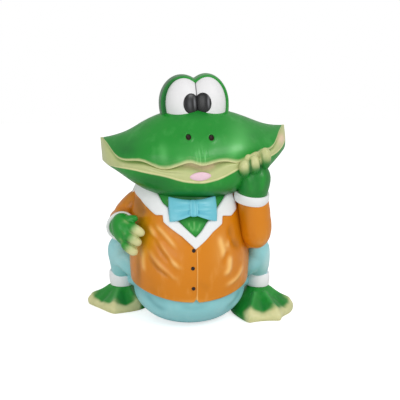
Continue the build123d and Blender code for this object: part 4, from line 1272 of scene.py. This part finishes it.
left_foot_rows = foot_surface(
    (110.8, 15.0),
    38.5,
    [
        # round the ankle from the heel over the inner web, the toes and the outer side
        (2, 21), (-20, 22), (-38, 14), (-46, -14), (-41, -44), (-31, -69), (-22, -71), (-3, -68),
        (14, -69.5), (22, -68), (28, -56), (42, -42), (51, -29), (54, -18), (51, -5), (40, 12),
        (20, 22),
    ],
    [(-28, -70), (18, -68), (53, -21)],
    16.4,
)
write_piece("left_webbed_foot", [left_foot_rows, sole(left_foot_rows)], "green_skin", "left_foot")
right_foot_rows = foot_surface(
    (-101.3, 60.5),
    34.5,
    [
        (0, 21), (-22, 20), (-42, 18), (-54, 11), (-54.5, 1), (-46, -12), (-34, -28), (-24, -42),
        (-15, -51), (-4, -50), (12, -46), (24, -41), (31, -36), (40, -26), (44, -12), (38, 8),
        (22, 20),
    ],
    [(-54, 5), (-16, -50), (25, -40)],
    17.0,
)
write_piece("right_webbed_foot", [right_foot_rows, sole(right_foot_rows)], "green_skin", "right_foot")


# Turned-back cuffs: thick rolled bands about the wrists and ankles


def cuff_band(centre, axis, outer, wall, width, flare, waves, light):
    """A band about an axis: a closed loop of a rounded oblong carried round by a full turn. Its
    radius grows by the flare towards the top and swells by a wave three times a turn."""
    loop = np.linspace(0, 2 * np.pi, 64, endpoint=False)
    blunt = 0.38
    along = np.sign(np.sin(loop)) * np.abs(np.sin(loop)) ** blunt * width / 2
    out = np.sign(np.cos(loop)) * np.abs(np.cos(loop)) ** blunt * wall / 2 + outer - wall / 2
    out = out + flare * along / width + 0.35 * np.cos(along / width * 2 * np.pi)
    turn = np.linspace(0, 2 * np.pi, 128, endpoint=False)[:, None]
    axis = unit(np.array(axis, float))
    side = unit(np.cross(axis, np.array([0.0, 1.0, 0.2])))
    front = np.cross(axis, side)
    swell = 1 + waves * np.cos(3 * turn + 0.6) / outer
    ring = side * np.cos(turn)[..., None] + front * np.sin(turn)[..., None]
    points = np.array(centre) + ring * (out * swell)[..., None] + axis * along[None, :, None]
    # painted shade on the band's inner face, and the given painted highlight on the rest
    shade = np.where(out < outer - wall * 0.75, -0.7, light)
    return sheet(points.swapaxes(0, 1), shade=shade[:, None] + 0 * turn.T)


def closed_loop(part):
    """The same grid with its first row repeated at the end, so that the loop closes."""
    points = np.concatenate([part["points"], part["points"][:1]])
    shade = np.broadcast_to(part["masks"]["shade"], part["points"].shape[:2])
    return sheet(points, shade=np.concatenate([shade, shade[:1]]))


upright = (0.0, 0.0, 1.0)
cuffs = [
    # name, centre, axis, outer radius, wall, width, flare, waves, painted highlight, node
    ("raised_cuff", (84.3, -55.5, 192.4), (0.06, -0.20, 0.97), 25.0, 4.5, 14.5, 1.0, 0.5, 0.0, "left_cuff"),
    ("hip_cuff", (-101.5, -26, 147.5), (-0.10, -1.0, 0.05), 21.5, 5.0, 12.0, 1.0, 0.4, 0.0, "right_cuff"),
    ("left_turn_up", (110.8, 14.0, 47.6), upright, 19.2, 4.0, 20.6, 0.6, 0.4, 1.0, "left_trouser_cuff"),
    ("right_turn_up", (-101.3, 60.0, 44.4), upright, 19.6, 4.0, 23.3, 1.0, 0.4, 0.6, "right_trouser_cuff"),
]
for name, centre, axis, outer, wall, width, flare, waves, light, node in cuffs:
    band = closed_loop(cuff_band(centre, axis, outer, wall, width, flare, waves, light))
    write_piece(name, [band], "white_trim", node)


# Trouser seat: a round-bottomed bowl that carries the jacket

seat_half_width = 82.3
seat_front = 84.3
seat_back = 77.1
rebate_radius = 28.4
plate_thickness = 4.0
seat_levels = [
    # height in millimetres, reach as a share
    (0.0, 0.43), (5.3, 0.62), (14.4, 0.80), (28.8, 0.955), (40.3, 1.012), (50.0, 1.030),
    (62.0, 1.036), (72.0, 1.010),
]
seat_folds = [
    ([(-70, 56), (-58, 40), (-38, 30)], 4.0, -0.8),
    ([(-74, 44), (-60, 26), (-44, 18)], 4.0, 0.7),
    ([(72, 54), (60, 38), (42, 29)], 4.0, -0.8),
    ([(74, 42), (58, 24), (44, 17)], 4.0, 0.7),
    ([(-26, 44), (-4, 38), (22, 43)], 5.0, -0.5),
]


def seat_bowl():
    """Ellipses stacked up the seat's levels, front and back reach apart, with soft folds; the first
    rows turn in under the bowl to the closing plate's rebate."""
    turn = np.linspace(-np.pi, np.pi, 220, endpoint=False)
    height = np.concatenate([np.linspace(0, 14, 40)[:-1], np.linspace(14, 72, 60)])[:, None]
    reach = through(seat_levels, height[:, 0])[:, :1]
    x = seat_half_width * reach * np.sin(turn)
    y = (seat_back - seat_front) / 2 - (seat_front + seat_back) / 2 * reach * np.cos(turn)
    points = np.stack([x, y, height + 0 * x], axis=-1)
    relief = np.zeros(x.shape)
    for path, width, stand in seat_folds:
        relief += stand * crease(points[..., [0, 2]], path, width)
    out = normals_of(points)
    points = points + out * relief[..., None]
    rim = [rebate_radius * np.sin(turn), -rebate_radius * np.cos(turn)]
    rebate = [np.stack([*rim, level + 0 * turn], axis=-1) for level in (plate_thickness, 0.0)]
    return np.concatenate([rebate, points]), np.concatenate([np.zeros((2, len(turn))), relief])


seat_points, seat_relief = seat_bowl()
seat_z = seat_points[..., 2]
# painted highlight on raised folds and painted shade in sunk ones, painted shade under the jacket's hem and
# round the bottom of the bowl, and a little darker all over
seat_shade = -0.2 + 0.5 * seat_relief - 0.5 * soft_step(38, 60, seat_z)
seat_shade = seat_shade - 0.35 * (1 - soft_step(2, 14, seat_z))
write_piece("seat_cloth", [sheet(seat_points, shade=seat_shade)], "blue_trousers", "seat_shell")


# Eyes: two eggs standing side by side in a hood of two rounded lobes

eye_middle = np.array([3.0, -17.0, 61.5])
hood_shift = -1.8
hood_lobes = [
    # side of the lobe, half width, half height
    (-16.6, 34.4, 41.6),
    (18.6, 31.6, 41.0),
]
hood_rows = [
    # row, size of the lobes, depth behind the eyes' plane
    (0.0, 0.50, -6.0),
    (1.0, 0.78, -8.6),
    (2.0, 0.865, -10.6),
    (2.5, 0.905, -10.8),
    (3.2, 0.945, -8.0),
    (4.4, 0.985, 2.0),
    (6.0, 1.000, 18.0),
    (7.2, 0.930, 31.6),
    (8.2, 0.740, 43.9),
    (9.0, 0.460, 51.7),
    (9.8, 0.050, 54.6),
]


def lobe_reach(turn, size):
    """How far the two lobes reach from the middle in each direction: the farther crossing of the ray
    with either ellipse, the two blended by a soft maximum log(e^ka + e^kb) / k."""
    reach = []
    for side, half_width, half_height in hood_lobes:
        offset = side * np.minimum(size * 1.15, 1.0)
        wide = half_width * size
        high = half_height * size * np.where(np.sin(turn) < 0, 1.5, 1.0)
        a = (np.cos(turn) / wide) ** 2 + (np.sin(turn) / high) ** 2
        b = -2 * offset * np.cos(turn) / wide**2
        c = (offset / wide) ** 2 - 1
        reach.append((-b + np.sqrt(np.clip(b**2 - 4 * a * c, 0, None))) / (2 * a))
    sharp = 0.9
    first, second = reach
    top = np.maximum(first, second)
    return top + np.log(np.exp(sharp * (first - top)) + np.exp(sharp * (second - top))) / sharp - 0.2


def hood_surface():
    """The hood from the rim round the eyes over the lobes to its back."""
    turn = np.linspace(0, 2 * np.pi, 260, endpoint=False)
    row = np.linspace(0, 9.8, 110)
    level = through(hood_rows, row)
    size, depth = level[:, :1], level[:, 1:]
    reach = lobe_reach(turn[None, :], np.clip(size, 0.02, None))
    x = eye_middle[0] + hood_shift + reach * np.cos(turn)
    z = eye_middle[2] + reach * np.sin(turn)
    y = eye_middle[1] + depth + 0 * x
    points = np.stack([x, y, z], axis=-1)
    # painted highlight along the rim round the eyes, painted shade over the -X side and a little all over
    rim = bell(row - 2.6, 0.5)[:, None]
    left = 1 - soft_step(-30, 0, x)
    shade = 0.30 * rim - 0.55 * left - 0.2
    ends = [np.mean(points[end], axis=0) + 0 * points[end] for end in (0, -1)]
    return np.stack([ends[0], *points, ends[1]]), np.stack([shade[0], *shade, shade[-1]])


hood_points, hood_shade = hood_surface()
write_piece("eye_hood_skin", [sheet(to_body(hood_points), shade=hood_shade)], "green_skin", "eye_hood")

eye_eggs = {
    # side of its middle, half width, depth, half height, and its pupil's middle and half width
    "left": (16.7, 27.3, 26.0, 39.0, 8.2, 11.8),
    "right": (-16.7, 28.6, 26.0, 39.4, -8.4, 11.6),
}
pupil_half_height = 15.0
pupil_thickness = 1.2
for side, (middle, half_width, depth, half_height, pupil_middle, pupil_half_width) in eye_eggs.items():
    ball = egg((0, 0, 0), (half_width, depth, half_height), around=240, along=160)
    ball["points"][..., 2] *= np.where(ball["points"][..., 2] < 0, 1.2, 1.0)
    ball["points"] += eye_middle + (middle, 0, 0)
    off_middle = ball["points"][..., 0] - eye_middle[0]
    # painted shade: a dark line down the crease where the two eyes meet, the whites darker beside it
    line = bell(off_middle, 0.75) * (ball["points"][..., 1] < eye_middle[1])
    ball["masks"] = {"shade": -0.25 * line, "line": line}
    ball["points"] = to_body(ball["points"])
    write_piece(f"{side}_eye_white", [ball], "eye_white", f"{side}_eyeball")

    reach = np.linspace(0, 1, 28)[:, None]
    turn = np.linspace(0, 2 * np.pi, 96, endpoint=False)
    x = pupil_middle + pupil_half_width * reach * np.cos(turn)
    x = np.maximum(x, 0.1) if middle > 0 else np.minimum(x, -0.1)
    z = pupil_half_height * reach * np.sin(turn)
    bulge = np.clip(1 - ((x - middle) / half_width) ** 2 - (z / half_height) ** 2, 0, 1)
    dome = pupil_thickness * np.sqrt(np.clip(1 - reach**6, 0, 1)) - 0.3
    y = -depth * np.sqrt(bulge) - dome
    # painted highlight: a soft upright reflection of a lamp painted on each pupil, and a fainter one near
    # the outer edge of the -X pupil
    bright = -3.6 if middle < 0 else 15.6
    sheen = 0.9 * bell(x - bright, 1.7) * bell(z - 1, 8.5)
    sheen = np.maximum(sheen, 0.45 * bell(x + 11, 3.6) * bell(z, 9))
    disc = sheet(to_body(np.stack([x, y, z], axis=-1) + eye_middle), shade=sheen)
    write_piece(f"{side}_pupil_paint", [disc], "gloss_black", f"{side}_pupil")


# Bow tie: a pleated wing each side of a gathered knot, lying on the lapels

bow_middle = (front_shift, 180.0)
bow_half_width = 33.0
bow_tip_half_height = 16.6
bow_waist_half_height = 9.8


def front_at(x, z):
    """How far forward the jacket's front reaches at places across and up."""
    half_width, front, back = jacket_level(z)
    return (back - front) / 2 - (front + back) / 2 * np.sqrt(np.clip(1 - (x / half_width) ** 2, 0, 1))


def bow_wing(side):
    """A wing as a flattened tube that widens outwards: round its section by the angle a, up = h cos a
    and forward = t sin a, with pleats as ripples of the direction from the knot that fade outwards."""
    run = np.linspace(0, 1, 70)[:, None]
    around = np.linspace(0, 2 * np.pi, 150, endpoint=False)
    widening = (bow_tip_half_height - bow_waist_half_height) * soft_step(-0.25, 1.15, run)
    half_height = bow_waist_half_height + widening
    end = np.clip((1 - run) / 0.06, 0, 1)
    edge = np.sqrt(1 - (1 - end) ** 2)
    up = np.sign(np.cos(around)) * np.abs(np.cos(around)) ** 0.75 * half_height * (0.97 + 0.03 * edge)
    swell = 4.2 + 1.6 * np.sin(np.pi * np.clip(run, 0, 1))
    thick = np.where(np.sin(around) > 0, swell, 1.6) * (0.25 + 0.75 * edge)
    forward = np.sign(np.sin(around)) * np.abs(np.sin(around)) ** 0.55 * thick
    share = up / half_height
    front = np.clip(np.sin(around) * 3, 0, 1)
    pleats = np.cos(share * 7.5 + 0.8) * 0.75 * (1 - soft_step(0.25, 1.0, run))
    pleats += 0.9 * bell(share - 0.35 * (1 - run), 0.16) * (1 - run)
    pleats -= 0.8 * bell(share + 0.30 * (1 - 0.6 * run), 0.13) * (1 - soft_step(0.5, 1.0, run))
    x = bow_middle[0] + side * (4 + (bow_half_width - 4) * run) + side * 0.6 * (1 - share**2) * run
    z = bow_middle[1] + up + 2.8 * (1 - run) ** 2
    y = front_at(x, np.minimum(z, 198)) - 4.4 - forward - pleats * front + 1.4 * run**2
    body = np.stack([x + 0 * y, y, z + 0 * y], axis=-1)
    # painted highlight on the pleat ridges and painted shade in their folds, painted shade where the wing
    # meets the knot
    shade = 0.5 * pleats * front - 0.5 * (1 - soft_step(0.02, 0.2, run)) + 0 * share
    middle = np.mean(body[-1], axis=0)
    closing = np.stack([body[-1], body[-1] * 0.5 + middle * 0.5, middle + 0 * body[-1]])
    closing_shade = np.broadcast_to(shade[-1], closing.shape[:2])
    return [sheet(body, shade=shade), sheet(closing, shade=closing_shade)]


def bow_knot():
    """The knot: an upright cushion, waisted at top and bottom where the cloth is pulled round, with
    three gathers down its front."""
    run = np.linspace(-1, 1, 90)[:, None]
    around = np.linspace(0, 2 * np.pi, 96, endpoint=False)
    profile = np.sqrt(np.clip(1 - np.abs(run) ** 5, 0, 1))
    wide = 8.0 * (0.9 + 0.1 * run**2) * profile
    thick = 4.6 * profile
    gathers = 0.35 * np.cos(around * 9) * np.clip(-np.sin(around), 0, 1) * profile
    x = bow_middle[0] + (wide + gathers) * np.sign(np.cos(around)) * np.abs(np.cos(around)) ** 0.8
    z = bow_middle[1] + 2.4 + 11.0 * run + 0 * x
    y = front_at(x, z) - 6.0 + (thick + gathers) * np.sin(around)
    # painted highlight and shade on the gathers, painted shade towards the knot's top and bottom
    shade = 0.9 * gathers - 0.35 * (1 - profile)
    return sheet(np.stack([x, y, z], axis=-1), shade=shade)


for side, name in ((1, "left"), (-1, "right")):
    write_piece(f"{name}_bow_cloth", bow_wing(side), "blue_bow", f"bow_tie_wing_{name}")
write_piece("bow_knot_cloth", [bow_knot()], "blue_bow", "bow_tie_knot")


# Buttons: three small domed studs down the front edge

button_places = [(-4.4, 124.8), (-6.0, 100.1), (-5.1, 70.5)]
button_radius = 2.7


def button_stud(across, height):
    """A domed stud standing square on the cloth: out = 1.5 sqrt(1 - r^4) with a shallow dimple."""
    reach = np.linspace(0, 1, 24)[:, None]
    turn = np.linspace(0, 2 * np.pi, 48, endpoint=False)
    middle = on_jacket(turn_at(across, np.array(height)), np.array(height))
    out = unit(np.array([across / jacket_half_width**2, middle[1] / jacket_front**2, 0.0]))
    side = unit(np.cross(np.array([0.0, 0.0, 1.0]), out))
    rise = np.cross(out, side)
    dome = 1.5 * np.sqrt(1 - reach**4) - 0.35 * bell(reach, 0.45) + 0 * turn
    flat = button_radius * reach[..., None] * (np.cos(turn)[:, None] * side + np.sin(turn)[:, None] * rise)
    face = middle + flat + dome[..., None] * out
    back = [face[-1] - 1.5 * out, middle - 1.5 * out + 0 * face[-1]]
    return sheet(np.concatenate([face, back]), shade=0.0)


studs = [button_stud(across, height) for across, height in button_places]
write_piece("button_studs", studs, "gloss_black", "jacket_buttons", paint=button_paint)


# CAD nodes that stay take their slot's paint
slot_of_node = {part["node"]: part["material_slot"] for part in frame["record"]["subparts"]}
for name, node in cad_nodes.items():
    node.data.materials.clear()
    node.data.materials.append(paints_by_slot[slot_of_node[name]])
    node.data.shade_smooth()

# Floor, light and camera


def plain_floor():
    """A wide pale plate under the figurine: it looks white to the camera and keeps the shadow."""
    half = 4000.0
    mesh = bpy.data.meshes.new("floor")
    corners = [(x * half * mm, y * half * mm, 0) for x, y in ((-1, -1), (1, -1), (1, 1), (-1, 1))]
    mesh.from_pydata(corners, [], [(0, 1, 2, 3)])
    floor = bpy.data.objects.new("floor", mesh)
    bpy.context.scene.collection.objects.link(floor)
    material = bpy.data.materials.new("pale_floor")
    material.use_nodes = True
    tree = material.node_tree
    shader = tree.nodes["Principled BSDF"]
    shader.inputs["Base Color"].default_value = tone(236, 236, 236)
    shader.inputs["Roughness"].default_value = 0.9
    shader.inputs["Specular IOR Level"].default_value = 0.1
    shader.inputs["Emission Color"].default_value = (1, 1, 1, 1)
    seen = tree.nodes.new("ShaderNodeLightPath")
    lift = tree.nodes.new("ShaderNodeMath")
    lift.operation = "MULTIPLY"
    lift.inputs[1].default_value = 0.62
    tree.links.new(seen.outputs["Is Camera Ray"], lift.inputs[0])
    tree.links.new(lift.outputs["Value"], shader.inputs["Emission Strength"])
    mesh.materials.append(material)


def pale_world(level):
    """Even light from all round; white where the camera sees it."""
    world = bpy.data.worlds.new("studio")
    bpy.context.scene.world = world
    world.use_nodes = True
    tree = world.node_tree
    seen = tree.nodes.new("ShaderNodeLightPath")
    strength = tree.nodes.new("ShaderNodeMapRange")
    strength.inputs["To Min"].default_value = level
    strength.inputs["To Max"].default_value = 1.0
    tree.links.new(seen.outputs["Is Camera Ray"], strength.inputs["Value"])
    tree.nodes["Background"].inputs["Color"].default_value = (1, 1, 1, 1)
    tree.links.new(strength.outputs["Result"], tree.nodes["Background"].inputs["Strength"])


def soft_lamp(name, place, aim, size, power):
    """A square softbox at a place in millimetres, turned to its aim."""
    lamp = bpy.data.lights.new(name, "AREA")
    lamp.shape = "SQUARE"
    lamp.size = size * mm
    lamp.energy = power
    holder = bpy.data.objects.new(name, lamp)
    bpy.context.scene.collection.objects.link(holder)
    holder.location = Vector(place) * mm
    holder.rotation_euler = (Vector(aim) - Vector(place)).to_track_quat("-Z", "Y").to_euler()


plain_floor()
pale_world(0.62)
body_middle = (0, 0, 190)
soft_lamp("key_softbox", (750, -1100, 1150), body_middle, 700, 8.6)
soft_lamp("fill_softbox", (-900, -1200, 420), body_middle, 800, 5.0)

camera_turn = -8.0
camera_rise = 11.0
camera_distance = 970.0
camera_aim = Vector((17, 0, 178))
turn, rise = math.radians(camera_turn), math.radians(camera_rise)
back = Vector((math.sin(turn) * math.cos(rise), -math.cos(turn) * math.cos(rise), math.sin(rise)))
camera = bpy.data.objects.new("camera", bpy.data.cameras.new("camera"))
bpy.context.scene.collection.objects.link(camera)
camera.data.lens = 58.0
camera.data.sensor_width = 36.0
camera.location = (camera_aim + back * camera_distance) * mm
camera.rotation_euler = (-back).to_track_quat("-Z", "Y").to_euler()
bpy.context.scene.camera = camera
bpy.context.scene.view_settings.view_transform = "Standard"
